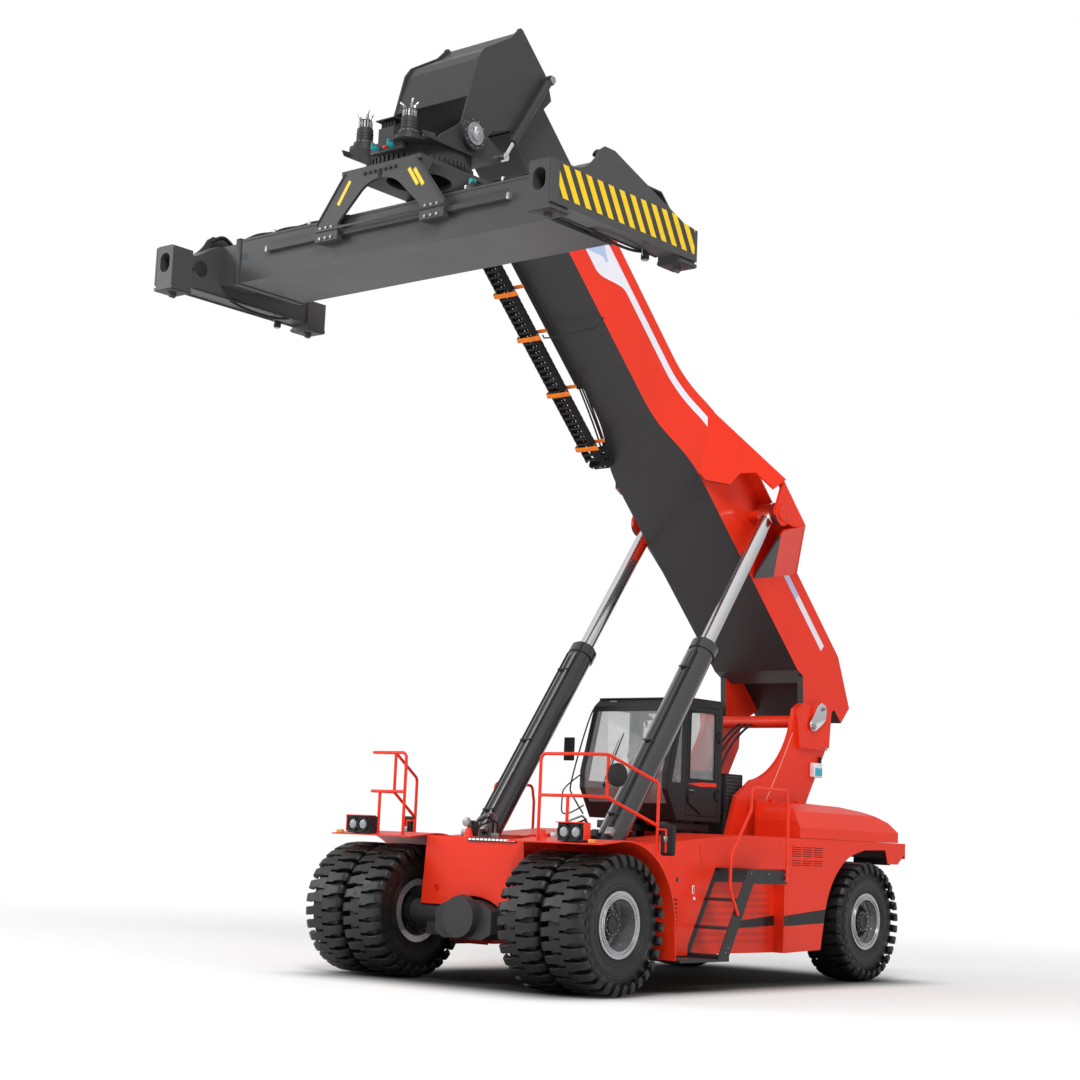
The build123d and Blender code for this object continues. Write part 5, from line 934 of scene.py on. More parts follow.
def add_round_mirror():
    """The round mirror on the left front guard; the right guard has none."""
    dome = start("dome", "uv_sphere", segments=40, ring_count=16, radius=0.135,
                 location=at(1.79, 0.20, 2.447), scale=(1, 0.30, 1))
    choose(dome, lambda middle, normal: middle.y > station(0.205))
    bpy.ops.mesh.delete(type="FACE")
    choose(dome, lambda middle, way: abs(middle.y - station(0.20)) < 0.002, "EDGE")
    extrude((0, 0.02, 0))
    bpy.ops.mesh.edge_face_add()
    done(dome, "matt", 60)
    stem = round_bar("stem", at(1.66, 0.20, 2.565), at(1.79, 0.215, 2.50), 0.011, 12, 0.002, "red")
    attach(joined("left_round_mirror", [dome, stem]), "chassis")


def add_body_marks():
    """Louvres with painted shade in their gaps, slots painted black as shade, a lock, a level glass, seams
    and bolts on the sides, and the rear lamps.
    """
    blank_row = 5
    for side, sign in SIDES:
        face = sign * 1.6
        slats = [(station(4.205 + column * 0.262), 1.738 - row * 0.0285)
                 for column in range(3) for row in range(9) if row != blank_row]
        slat = start("slat", "cube", size=1, location=(face + sign * 0.004, 0.105, 0.009),
                     scale=(0.008, 0.21, 0.018))
        choose(slat, lambda middle,
               way: middle.z > 0.012 and abs(way.y) > 0.9 and (middle.x - face) * sign > 0.004, "EDGE")
        round_edges(0.0065, 3)
        done(slat, "red")
        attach(copied(slat, f"{side}_louvre_slats", [Matrix.Translation((0, y, z)) for y, z in slats]),
                "chassis")
        # painted shade: thin matt black strips between the slats stand for the shade in the louvre gaps
        dark = start("gap", "cube", size=1, location=(face + sign * 0.0015, 0.105, -0.0045),
                     scale=(0.003, 0.205, 0.008))
        choose(dark, None, "EDGE")
        round_edges(0.001, 1)
        done(dark, "matt")
        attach(copied(dark, f"{side}_louvre_gap_shade", [Matrix.Translation((0, y, z)) for y, z in slats]),
                "chassis")
        # painted shade: each slot is a thin matt black piece on the face, standing for the shade inside the
        # opening
        slot = start("slot", "cylinder", vertices=16, radius=0.010, depth=0.004, location=(face, 0, 0),
                     rotation=(0, pi / 2, 0))
        choose(slot, lambda middle, normal: middle.y > 0.0095 or (middle.y > 0 and abs(normal.x) < 0.5))
        bpy.ops.transform.translate(value=(0, 0.075, 0))
        done(slot, "matt")
        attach(copied(slot, f"{side}_body_slot_shades",
                       [Matrix.Translation(at(sign * 0.001, 1.625, 1.055 - 0.050 * k)) for k in range(8)]),
                "chassis")
        lock = [round_bar("ring", at(face, 1.70, 1.289), at(face + sign * 0.012, 1.70, 1.289), 0.024, 24,
                          0.003, "matt"),
                plate("key", at(face + min(0, sign * 0.018), 1.694, 1.272),
                      at(face + max(0, sign * 0.018), 1.706, 1.306), 0.002, "steel")]
        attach(joined(f"{side}_cupboard_lock", lock), "chassis")
        glass = [plate("level", at(face + min(0, sign * 0.010), 2.005, 1.125),
                       at(face + max(0, sign * 0.010), 2.045, 1.225), 0.004, "white"),
                 plate("inset", at(face + min(0, sign * 0.013), 2.017, 1.140),
                       at(face + max(0, sign * 0.013), 2.033, 1.210), 0.003, "matt"),
                 round_bar("plug", at(face, 2.045, 1.070), at(face + sign * 0.016, 2.045, 1.070), 0.020, 20,
                           0.004, "white")]
        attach(joined(f"{side}_tank_level_glass", glass), "chassis")
        heads = [at(face, a, z) for a,
                 z in ((1.13, 1.62), (1.13, 0.50), (4.0, 1.78), (4.0, 1.60), (1.13, 1.10))]
        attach(bolts(f"{side}_panel_bolts", heads, (sign, 0, 0), 0.010, "steel"), "chassis")
        back = station(7.072)
        lamps = [plate("bracket", at(sign * 1.10 - 0.29, 7.04, 1.545), (sign * 1.10 + 0.29, back, 1.650),
                       0.006, "dark")]
        for low, high, paint in ((1.20, 1.36, "amber"), (1.02, 1.18, "tail"), (0.84, 1.00, "tail")):
            lamps.append(plate("lens", (sign * (low + high) / 2 - 0.075, back, 1.560),
                               (sign * (low + high) / 2 + 0.075, back + 0.020, 1.635), 0.008, paint, 3))
        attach(joined(f"{side}_rear_lamps", lamps), "chassis")
        edge = tube(f"{side}_body_seam",
                    [at(face + sign * 0.0005, 2.13, 1.70), at(face + sign * 0.0005, 2.16, 1.58),
                     at(face + sign * 0.0005, 2.22, 1.452)],
                    0.0022, "matt", smooth=False)
        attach(edge, "chassis")


def add_stair_treads():
    """Folded noses and round studs on the treads, and the bolts of the stair plates."""
    for side, sign in SIDES:
        noses = []
        tread_x = sign * 1.74
        for along, high in ((2.135, 0.7525), (2.315, 1.0825), (2.58, 1.4375)):
            noses.append(plate("nose", (tread_x - 0.275, station(along) - 0.006, high - 0.030),
                               (tread_x + 0.275, station(along) + 0.010, high + 0.004),
                               0.003, "lock"))
        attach(joined(f"{side}_tread_noses", noses), "chassis")
        stud = start("stud", "cone", vertices=10, radius1=0.014, radius2=0.009, depth=0.006,
                     location=(0, 0, 0.003))
        choose(stud, lambda middle, normal: normal.z > 0.9)
        inset(0.003)
        extrude((0, 0, -0.003))
        done(stud, "lock")
        spots = [at(sign * (1.50 + 0.048 * k), along + 0.045 * row, high)
                 for along, high in ((2.18, 0.7525), (2.36, 1.0825)) for k in range(11) for row in range(4)]
        spots += [at(sign * (1.50 + 0.048 * k), 1.24 + 0.06 * row, 0.385) for k in range(11)
                  for row in range(9)]
        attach(copied(stud, f"{side}_tread_studs", [Matrix.Translation(spot) for spot in spots]),
                "chassis")
        heads = [at(sign * 2.03, a, z) for a,
                 z in ((2.11, 0.46), (2.16, 0.52), (2.62, 1.39), (3.35, 1.39), (3.35, 1.31), (3.0, 1.39))]
        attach(bolts(f"{side}_stair_bolts", heads, (sign, 0, 0), 0.011, "steel"), "chassis")


def add_tower():
    """Lock plates of the pivot pins, weld beads painted light as highlights, steps, the control box and the
    guard behind the cab.
    """
    for side, sign in SIDES:
        x = sign * 0.835
        outline = [(6.05, 3.735), (6.15, 3.70), (6.18, 3.62), (6.16, 3.50), (6.05, 3.42), (5.90, 3.335),
                   (5.80, 3.335), (5.76, 3.40), (5.78, 3.47), (5.86, 3.56), (5.94, 3.68)]
        lozenge = sheet_metal("lozenge", [at(x, a, z) for a, z in outline], 0.022, (sign, 0, 0), "chrome",
                              0.006)
        screw = bolts("screws", [at(x + sign * 0.022, a, z) for a, z in ((5.84, 3.385), (6.08, 3.65))],
                      (sign, 0, 0), 0.026)
        boss = round_bar("boss", at(x, 5.835, 3.385), at(x + sign * 0.05, 5.835, 3.385), 0.042, 28, 0.006,
                         "steel")
        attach(joined(f"{side}_pivot_lock_plate", [lozenge, screw, boss]), "chassis")
        x = sign * 0.7605
        # painted highlight: a thin weld bead painted light red where the tower's welded edge catches the
        # light
        strip = tube(f"{side}_tower_weld_highlight",
                     [at(x, 5.46, 3.28), at(x, 5.20, 2.86), at(x, 4.93, 2.46), at(x, 4.76, 2.22)], 0.007,
                     "pale", smooth=False)
        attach(strip, "chassis")
        shelf = plate(f"{side}_tower_step", at(sign * 0.79 - 0.03, 5.56, 3.085),
                      at(sign * 0.79 + 0.03, 6.27, 3.110), 0.006, "red")
        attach(shelf, "chassis")
    shell = plate("case", at(0.765, 5.90, 2.70), at(0.845, 6.12, 2.90), 0.016, "white", 3)
    label = plate("panel", at(0.846, 5.925, 2.725), at(0.850, 6.10, 2.83), 0.0015, "blue")
    clip = plate("clip", at(0.765, 6.12, 2.86), at(0.80, 6.16, 2.99), 0.006, "matt")
    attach(joined("tower_control_box", [shell, label, clip]), "chassis")
    half, near, far, foot, base, top = 0.66, 4.02, 4.40, 2.10, 2.12, 2.64
    frame_bars = [round_bar("bar", at(x, a, z), at(x2, a2, z2), 0.011, 12, 0.002, "matt")
                  for x, a, z, x2, a2, z2 in (
                      (half, near, foot, half, near, top), (half, far, foot, half, far, top),
                      (half, near, top, half, far, top), (half, near, base, half, far, base),
                      (-half, near, foot, -half, near, top), (-half, far, foot, -half, far, top),
                      (-half, near, top, half, near, top), (-half, far, top, half, far, top),
                      (-half, near, top, -half, far, top))]
    legs = [plate("leg", (x - 0.02, station(a) - 0.02, 1.54), (x + 0.02, station(a) + 0.02, base), 0.004,
                  "matt") for x in (-half, half) for a in (near, far)]
    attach(joined("bulkhead_frame", frame_bars + legs), "chassis")
    mesh = [plate("mesh", at(x - 0.002, near, base), at(x + 0.002, far, top), 0.001, "guard", 1)
            for x in (-half, half)]
    mesh.append(plate("mesh", at(-half, 4.398, base), at(half, 4.402, top), 0.001, "guard", 1))
    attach(joined("bulkhead_mesh", mesh), "chassis")


# ---------------------------------------------------------------- cylinders
def add_cylinder_details():
    """Pipes with clips, ribs, gland rings, port blocks and foot caps on the lift barrels."""
    across = Vector((0, -lift_axis.z, lift_axis.y))
    for side, sign in SIDES:
        foot = Vector((sign * 0.98, lift_base.y, lift_base.z))
        for number, (out, paint) in enumerate(((0.060, "hose"), (-0.060, "steel"))):
            line = [foot + lift_axis * a + across * 0.178 + Vector((sign * out, 0, 0))
                    for a in (0.32, 1.2, 2.2, 3.24)]
            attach(tube(f"{side}_barrel_pipe_{number}", line, 0.014, paint, smooth=False), "lift_barrels")
        clip = plate("clip", (-0.082, -0.013, 0.150), (0.082, 0.013, 0.195), 0.006, "hub")
        turn = Matrix((Vector((1, 0, 0)), lift_axis, across)).transposed().to_4x4()
        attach(copied(clip, f"{side}_pipe_clips",
                       [Matrix.Translation(foot + lift_axis * a) @ turn for a in (0.62, 1.75, 2.95)]),
                "lift_barrels")
        rib = plate(f"{side}_barrel_rib", (-0.020, 0.30, -0.180), (0.020, 3.26, -0.150), 0.005, "barrel")
        rib.data.transform(Matrix.Translation(foot) @ turn)
        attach(rib, "lift_barrels")
        ring = start(f"{side}_gland_ring", "cylinder", vertices=56, radius=0.152, depth=0.03,
                     location=(0, 0, 0))
        choose(ring, lambda middle, normal: normal.z > 0.9)
        inset(0.020)
        extrude((0, 0, 0.012))
        inset(0.034)
        choose(ring,
               lambda middle, normal: abs(normal.z) > 0.9 and Vector((middle.x, middle.y)).length < 0.05)
        bpy.ops.mesh.delete(type="FACE")
        done(ring, "hub")
        ring.data.transform(Matrix.Translation(foot + lift_axis * 3.455)
                            @ lift_axis.to_track_quat("Z", "Y").to_matrix().to_4x4())
        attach(ring, "lift_barrels")
        turns = around(12)
        heads = [foot + lift_axis * 3.4702 + (Vector((1, 0, 0)) * cos(a) + across * sin(a)) * 0.142
                 for a in turns]
        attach(bolts(f"{side}_gland_bolts", heads, lift_axis, 0.010, "steel"), "lift_barrels")
        for number, (x, a, rise,
                     paint) in enumerate(((0.10, 0.34, 0.19, "steel"), (-0.10, 0.30, 0.19, "hub"))):
            block = plate(f"{side}_port_block_{number}", (x - 0.045, a - 0.05, 0.145),
                          (x + 0.045, a + 0.05, rise + 0.03), 0.008, paint)
            block.data.transform(Matrix.Translation(foot) @ turn)
            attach(block, "lift_barrels")
        cap = round_bar(f"{side}_foot_cap", foot + Vector((sign * 0.16, 0, 0)),
                        foot + Vector((sign * 0.175, 0, 0)), 0.10, 36, 0.005, "steel")
        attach(cap, "lift_barrels")


def add_foot_pipes():
    """Bent pipes that feed the lift cylinders, and the valve beside each foot."""
    for side, sign in SIDES:
        parts = []
        for number, (dx, high) in enumerate(((-0.23, 1.90), (-0.27, 1.95), (-0.31, 1.86))):
            x = sign * (0.98 + dx)
            points = [at(x, 1.04, 1.69), at(x, 1.04, high), at(x, 0.96, high + 0.04),
                      at(x, 0.74, high - 0.02),
                      at(x, 0.66, high - 0.08), at(x, 0.66, 1.69)]
            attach(tube(f"{side}_foot_pipe_{number}", points, 0.013, "steel" if number == 1 else "hose",
                         smooth=False), "chassis")
            for along in (1.04, 0.66):
                parts.append(round_bar("fitting", at(x, along, 1.69), at(x, along, 1.745), 0.020, 6, 0.002,
                                       "steel"))
        valve = plate("valve", at(sign * 0.70 - 0.06, 0.46, 1.69), at(sign * 0.70 + 0.06, 0.60, 1.78),
                      0.010, "steel")
        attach(joined(f"{side}_foot_fittings", parts + [valve]), "chassis")


# ---------------------------------------------------------------- boom
def add_boom_details():
    """Caps and ties of the chain in its tray, its hanging run, pad and pin bolts, bushes and damper caps."""
    turn = Matrix((Vector((1, 0, 0)), boom_along, boom_up)).transposed().to_4x4()
    for index in range(18):
        along = 5.6 + 0.125 * index
        link = plate(f"chain_link_cap_{index:02d}", (-0.0675, -0.046, 0.004), (0.0675, 0.046, 0.012), 0.003,
                     "matt", 1)
        link.data.transform(Matrix.Translation(on_boom(along, 0.450, -0.535)) @ turn)
        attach(link, "outer_boom")
    ties = []
    for along in (5.85, 6.35, 6.85, 7.35):
        ring = plate("tie", (-0.080, -0.014, -0.004), (0.080, 0.014, 0.006), 0.002, "orange", 1)
        side = plate("tie", (-0.084, -0.014, -0.135), (-0.076, 0.014, 0.006), 0.002, "orange", 1)
        for piece in (ring, side):
            piece.data.transform(Matrix.Translation(on_boom(along + 0.0625, 0.466, -0.535)) @ turn)
        ties += [ring, side]
    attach(joined("chain_ties", ties), "outer_boom")
    add_hanging_chain(turn)
    for side, sign in SIDES:
        heads = [on_boom(8.0 - 0.06 - 0.10 * k, rise, sign * 0.42) for k in range(3)
                 for rise in (0.37, 0.49, 0.79, 0.91)]
        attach(bolts(f"{side}_pad_bolts", heads, (sign, 0, 0), 0.014), "outer_boom")
        cover = on_boom(2.91, 0.77, sign * 1.222)
        turns = around(6)
        heads = [cover + (boom_along * cos(a) + boom_up * sin(a)) * 0.088 for a in turns]
        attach(bolts(f"{side}_rod_pin_bolts", heads, (sign, 0, 0), 0.012), "outer_boom")
        centre = on_boom(9.667, -0.677, sign * 0.60)
        ring = round_bar(f"{side}_nose_bush", centre, centre + Vector((sign * 0.008, 0, 0)), 0.13, 48,
                         0.002, "hub")
        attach(ring, "inner_boom")
        knob = on_boom(9.44, 1.0, sign * 0.735)
        cap = round_bar(f"{side}_damper_cap", knob - Vector((sign * 0.006, 0, 0)),
                        knob + Vector((sign * 0.012, 0, 0)), 0.048, 28, 0.004, "steel")
        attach(cap, "inner_boom")


def add_hanging_chain(turn):
    """The chain's lower run beside the belly: open links with a strut each, hung in orange clamps."""
    low, high, inner, outer = -0.055, 0.065, -0.560, -0.760
    pitch = 0.085
    first = 4.62
    outline = [(-0.046, low), (-0.030, low - 0.010), (0.030, low - 0.010), (0.046, low), (0.046, high),
               (0.030, high + 0.010), (-0.030, high + 0.010), (-0.046, high)]
    cheek = sheet_metal("cheek", [(0, a, b) for a, b in outline], 0.012, (1, 0, 0), "matt", 0.002)
    other = twin(cheek, Matrix.Translation((inner - outer - 0.012, 0, 0)))
    struts = [plate("strut", (0.0, -0.016, rise - 0.009), (inner - outer, 0.016, rise + 0.009), 0.003,
                    "matt", 1) for rise in (low, high)]
    link = joined("link", [cheek, other, *struts])
    places = [Matrix.Translation(on_boom(first + pitch * k, 0, outer)) @ turn for k in range(38)]
    bend = [(first - 0.03 - 0.17 * sin(a), 0.175 - 0.17 * cos(a), a) for a in (0.5, 1.05, 1.6, 2.15, 2.7)]
    places += [Matrix.Translation(on_boom(along, rise, outer)) @ turn @ Matrix.Rotation(-a, 4, "X")
               for along, rise, a in bend]
    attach(copied(link, "hanging_chain", places), "outer_boom")
    for number, (x, rise) in enumerate(((-0.60, 0.02), (-0.64, -0.01), (-0.68, 0.015), (-0.72, -0.005))):
        line = [on_boom(7.75, rise, x), on_boom(6.9, rise + 0.006, x),
                on_boom(5.9, rise - 0.004, x + 0.004), on_boom(first - 0.02, rise, x),
                on_boom(first - 0.17, rise + 0.10, x), on_boom(first - 0.12, rise + 0.28, x + 0.05),
                on_boom(5.56, 0.36, x + 0.10)]
        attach(tube(f"chain_hose_{number}", line, 0.012, "hose"), "outer_boom")
    clamps = []
    for along in (7.25, 6.57, 5.69, 4.81):
        clamp = start("clamp", "cube", size=1, location=(-0.610, 0, low - 0.026),
                      scale=(0.36, 0.062, 0.020))
        choose(clamp, lambda middle, normal: normal.x < -0.9)
        extrude((-0.022, 0, 0.016))
        extrude((0, 0, 0.050))
        choose(clamp, None, "EDGE")
        round_edges(0.005, 2)
        done(clamp, "orange")
        top = plate("strap", (-0.790, -0.026, high + 0.014), (-0.421, 0.026, high + 0.030), 0.005, "orange")
        post = plate("post", (-0.796, -0.022, low - 0.020), (-0.778, 0.022, high + 0.028), 0.005, "orange")
        screws = [round_bar("screw", (x, 0, low - 0.050), (x, 0, high + 0.044), 0.010, 10, 0.002, "steel")
                  for x in (-0.785, -0.535)]
        for piece in (clamp, top, post, *screws):
            piece.data.transform(Matrix.Translation(on_boom(along, 0)) @ turn)
            clamps.append(piece)
    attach(joined("chain_clamps", clamps), "outer_boom")
    cable = [on_boom(6.52, high, -0.50), on_boom(6.52, -0.012, -0.43), on_boom(6.50, -0.012, -0.20),
             on_boom(6.53, -0.012, 0.10), on_boom(6.55, -0.012, 0.40),
             on_boom(6.55, 0.0, 0.430), on_boom(6.56, 0.20, 0.432)]
    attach(tube("belly_cable", cable, 0.010, "hose", smooth=False), "outer_boom")


def add_head_details():
    """Dress of the slew motors, valve spools, pin flanges, yoke webs and the greasing block."""
    y, low = -0.58, 1.54
    for side, x in (("left", 0.35), ("right", -0.35)):
        rings = []
        for rise, radius, tall in ((0.062, 0.101, 0.016), (0.100, 0.100, 0.010), (0.135, 0.100, 0.010),
                                   (0.170, 0.100, 0.010), (0.226, 0.084, 0.020), (0.320, 0.074, 0.022)):
            rings.append(round_bar("ring", at_slew(x, y, low + rise), at_slew(x, y, low + rise + tall),
                                   radius, 40, 0.004, "hub"))
        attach(joined(f"{side}_motor_collars", rings), "head_yoke")
        turns = around(14)
        heads = [at_slew(x + 0.112 * cos(a), y + 0.112 * sin(a), low + 0.060) for a in turns]
        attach(bolts(f"{side}_motor_bolts", heads, (0, 0, 1), 0.011), "head_yoke")
        fin = plate("fin", (0.058, -0.010, 0), (0.082, 0.010, 0.085), 0.003, "steel", 1)
        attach(copied(fin, f"{side}_motor_fins",
                       [Matrix.Translation(at_slew(x, y, low + 0.240)) @ Matrix.Rotation(a, 4, "Z")
                        for a in turns]), "head_yoke")
        fittings = []
        for k, (dx, dy) in enumerate(((0.05, -0.03), (-0.05, -0.02), (0.0, 0.05), (0.03, 0.03))):
            spot = at_slew(x + dx, y + dy, low + 0.335)
            fittings.append(round_bar("fitting", spot, spot + Vector((dx * 0.4, dy * 0.4, 0.055)), 0.017, 6,
                                      0.002, "steel"))
            fittings.append(round_bar("nipple", spot + Vector((dx * 0.4, dy * 0.4, 0.055)),
                                      spot + Vector((dx * 1.2, dy * 1.2, 0.095)), 0.011, 12, 0.002,
                                      "chrome"))
        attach(joined(f"{side}_motor_fittings", fittings), "head_yoke")
    stack = [plate("spool", at_slew(-0.11 + 0.045 * k, -0.585, 1.575),
                   at_slew(-0.078 + 0.045 * k, -0.42, 1.715), 0.004, paint)
             for k, paint in enumerate(("hub", "copper", "hub", "copper", "hub"))]
    stack += [round_bar("solenoid", at_slew(-0.095 + 0.045 * k, -0.55, low + 0.19),
                        at_slew(-0.095 + 0.045 * k, -0.55, low + 0.27), 0.017, 14, 0.003, "matt")
              for k in range(5)]
    cover = plate("cover", (-0.17, slew.y - 0.60, low + tips + 0.285),
                  (0.14, slew.y - 0.40, low + tips + 0.300), 0.004, "hub")
    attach(joined("head_valve_spools", stack + [cover]), "head_yoke")
    for side, sign in SIDES:
        pin = Vector((sign * 0.70, head_pin.y, head_pin.z))
        flange = start("flange", "cylinder", vertices=48, radius=0.135, depth=0.016,
                       location=pin + Vector((sign * 0.008, 0, 0)),
                       rotation=(0, pi / 2, 0))
        choose(flange, lambda middle, normal: normal.x * sign > 0.9)
        inset(0.055)
        extrude((sign * 0.010, 0, 0))
        done(flange, "steel")
        keeper = plate("keeper", (pin.x - 0.012, pin.y - 0.028, pin.z - 0.075),
                       (pin.x + 0.012, pin.y + 0.028, pin.z + 0.075), 0.005, "chrome")
        keeper.data.transform(Matrix.Translation(Vector((sign * 0.026, 0, 0))))
        nuts = bolts("nuts", [pin + Vector((sign * 0.036, dy, dz)) for dy,
                              dz in ((0, 0.05), (0, -0.05), (0.02, 0))], (sign, 0, 0), 0.014)
        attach(joined(f"{side}_head_pin_flange", [flange, keeper, nuts]), "head_yoke")
        turns = around(10)
        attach(bolts(f"{side}_boss_bolts",
                      [pin + Vector((0, 0.165 * cos(a), 0.165 * sin(a))) for a in turns], (sign, 0, 0),
                      0.010), "head_yoke")
        guide = [at_slew(sign * 0.642, -0.40, 1.50), at_slew(sign * 0.642, -0.62, 1.50),
                 at_slew(sign * 0.642, -0.66, 1.56), at_slew(sign * 0.642, -0.46, 1.58)]
        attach(sheet_metal(f"{side}_yoke_web", guide, 0.014, (sign * -1, 0, 0), "dark", 0.003),
                "head_yoke")
    rim = [at_slew(-0.56 + 0.14 * k, -0.552, 1.54) for k in range(9)]
    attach(bolts("top_plate_bolts", rim, (0, 0, 1), 0.013), "head_yoke")
    teal = []
    for x in (-0.05, 0.20):
        teal.append(round_bar("valve_body", at_slew(x, -0.735, 1.455), at_slew(x, -0.665, 1.455), 0.026, 8,
                              0.004, "teal"))
        teal.append(plate("lever", at_slew(x - 0.008, -0.765, 1.425), at_slew(x + 0.008, -0.735, 1.505),
                          0.003, "teal"))
    box = plate("box", at_slew(-0.16, -0.670, 1.405), at_slew(0.34, -0.600, 1.498), 0.008, "dark")
    red_knob = round_bar("knob", at_slew(0.08, -0.70, 1.455), at_slew(0.08, -0.665, 1.455), 0.018, 14,
                         0.003, "red")
    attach(joined("greasing_block", [box, *teal, red_knob]), "head_yoke")


def add_rotator_details():
    """Bolts, web holes painted black as shade, yellow marks, leg ribs, slider bars and the ring gear's teeth
    on the rotator.
    """
    for end, sign in (("front", -1), ("rear", 1)):
        face, mark_width = sign * 0.65, 0.046
        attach(bolts(f"{end}_web_bolts", [at_slew(-0.24 + 0.08 * k, face, 1.205) for k in range(7)],
                      (0, sign, 0), 0.022, "hub"), "rotator")
        heads = [at_slew(side * (0.74 + 0.09 * k), face, z) for side in (-1, 1) for k in range(3)
                 for z in (0.655, 0.535)]
        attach(bolts(f"{end}_foot_bolts", heads, (0, sign, 0), 0.019), "rotator")
        # painted shade: a matt black disc stands for the shade inside the web's hole
        hole = round_bar(f"{end}_web_hole_shade", at_slew(0, face - sign * 0.004, 1.155),
                         at_slew(0, face + sign * 0.004, 1.155), 0.035, 28, 0.002, "matt")
        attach(hole, "rotator")
        for side in (-1, 1):
            top, foot = Vector((side * 0.475, 0, 1.16)), Vector((side * 0.655, 0, 0.90))
            way = (foot - top).normalized()
            flat = Vector((-way.z, 0, way.x))
            marks = ((-0.022, 0.0, 1.0),) if side < 0 else ((-0.050, 0.0, 0.82), (0.012, 0.20, 1.02))
            for number, (shift, first, last) in enumerate(marks):
                corners = [top + (foot - top) * share + flat * across for share, across in (
                    (first, shift), (first, shift + mark_width), (last, shift + mark_width), (last, shift))]
                spots = [at_slew(corner.x, face, corner.z) for corner in corners]
                strip = sheet_metal(f"{end}_mark_{'right' if side < 0 else 'left'}_{number}", spots, 0.003,
                                    (0, sign, 0), "yellow")
                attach(strip, "rotator")
            edge = sheet_metal(f"{end}_leg_rib_{'right' if side < 0 else 'left'}", [
                at_slew(side * 0.560, face, 1.265), at_slew(side * 1.000, face, 0.700),
                at_slew(side * 0.984, face, 0.700), at_slew(side * 0.544, face, 1.265)],
                0.016, (0, sign, 0), "spreader", 0.003)
            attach(edge, "rotator")
        bar = plate(f"{end}_slider_bar", (-1.005, slew.y + min(face, face + sign * 0.020), tips + 0.618),
                    (1.005, slew.y + max(face, face + sign * 0.020), tips + 0.645), 0.005, "spreader")
        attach(bar, "rotator")
    turns = around(60)
    tooth = plate("tooth", (0.596, -0.016, 1.300), (0.628, 0.016, 1.385), 0.005, "hub", 1)
    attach(copied(tooth, "ring_gear_teeth",
                   [Matrix.Translation((0, slew.y, tips)) @ Matrix.Rotation(a, 4, "Z") for a in turns]),
            "rotator")


def add_beam_details():
    """Hoses with their ties, a valve, a post, end collars, a weld strip and rail stops on the main beam."""
    for number, (y, rise) in enumerate(((-0.47, 0.824), (-0.43, 0.826), (-0.39, 0.822), (-0.34, 0.828))):
        points = [at_slew(0.70 + 0.155 * k, y + 0.012 * sin(1.7 * k + number),
                          rise + 0.014 * (1 + sin(2.3 * k + 1.3 * number))) for k in range(12)]
        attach(tube(f"beam_hose_{number}", points, 0.012, "grey_hose" if number == 2 else "hose"),
                "main_beam")
        points = [at_slew(-0.70 - 0.155 * k, y + 0.012 * sin(1.9 * k + number),
                          rise + 0.013 * (1 + sin(2.1 * k + number))) for k in range(12)]
        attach(tube(f"beam_hose_right_{number}", points, 0.012, "hose"), "main_beam")
    ties = [plate("tie", at_slew(x - 0.012, -0.50, 0.8), at_slew(x + 0.012, -0.31, 0.862), 0.006, "white",
                  1) for x in (1.18, 1.72, 2.2, -1.3, -1.9)]
    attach(joined("hose_ties", ties), "main_beam")
    valve = [plate("block", at_slew(1.24, -0.53, 0.8), at_slew(1.34, -0.43, 0.86), 0.008, "hub"),
             round_bar("handle", at_slew(1.29, -0.535, 0.885), at_slew(1.29, -0.46, 0.885), 0.028, 8, 0.004,
                       "teal")]
    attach(joined("beam_valve", valve), "main_beam")
    post = round_bar("beam_post", at_slew(1.27, -0.52, 0.80), at_slew(1.27, -0.52, 0.865), 0.010, 12, 0.002,
                     "white")
    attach(post, "main_beam")
    for end, sign in SIDES:
        x = sign * 2.47
        near, far = x - 0.028 - sign * 0.002, x + 0.028 - sign * 0.030
        collar = [plate(part, at_slew(near, y0, z0), at_slew(far, y1, z1), 0.005, "spreader")
                  for part, y0, y1, z0, z1 in (
                      ("top", -0.549, 0.549, 0.788, 0.815), ("front", -0.549, -0.529, 0.238, 0.812),
                      ("rear", 0.529, 0.549, 0.238, 0.812), ("floor", -0.549, 0.549, 0.235, 0.254))]
        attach(joined(f"{end}_beam_collar", collar), "main_beam")
    seam = plate("front_weld_strip", at_slew(-2.44, -0.541, 0.765), at_slew(2.44, -0.533, 0.777), 0.003,
                 "spreader", 1)
    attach(seam, "main_beam")
    stops = [plate("stop", at_slew(sign * 1.90 - 0.02, -0.60, 0.552),
                   at_slew(sign * 1.90 + 0.02, -0.533, 0.628), 0.005, "steel") for sign in (-1, 1)]
    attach(joined("rail_stops", stops), "main_beam")


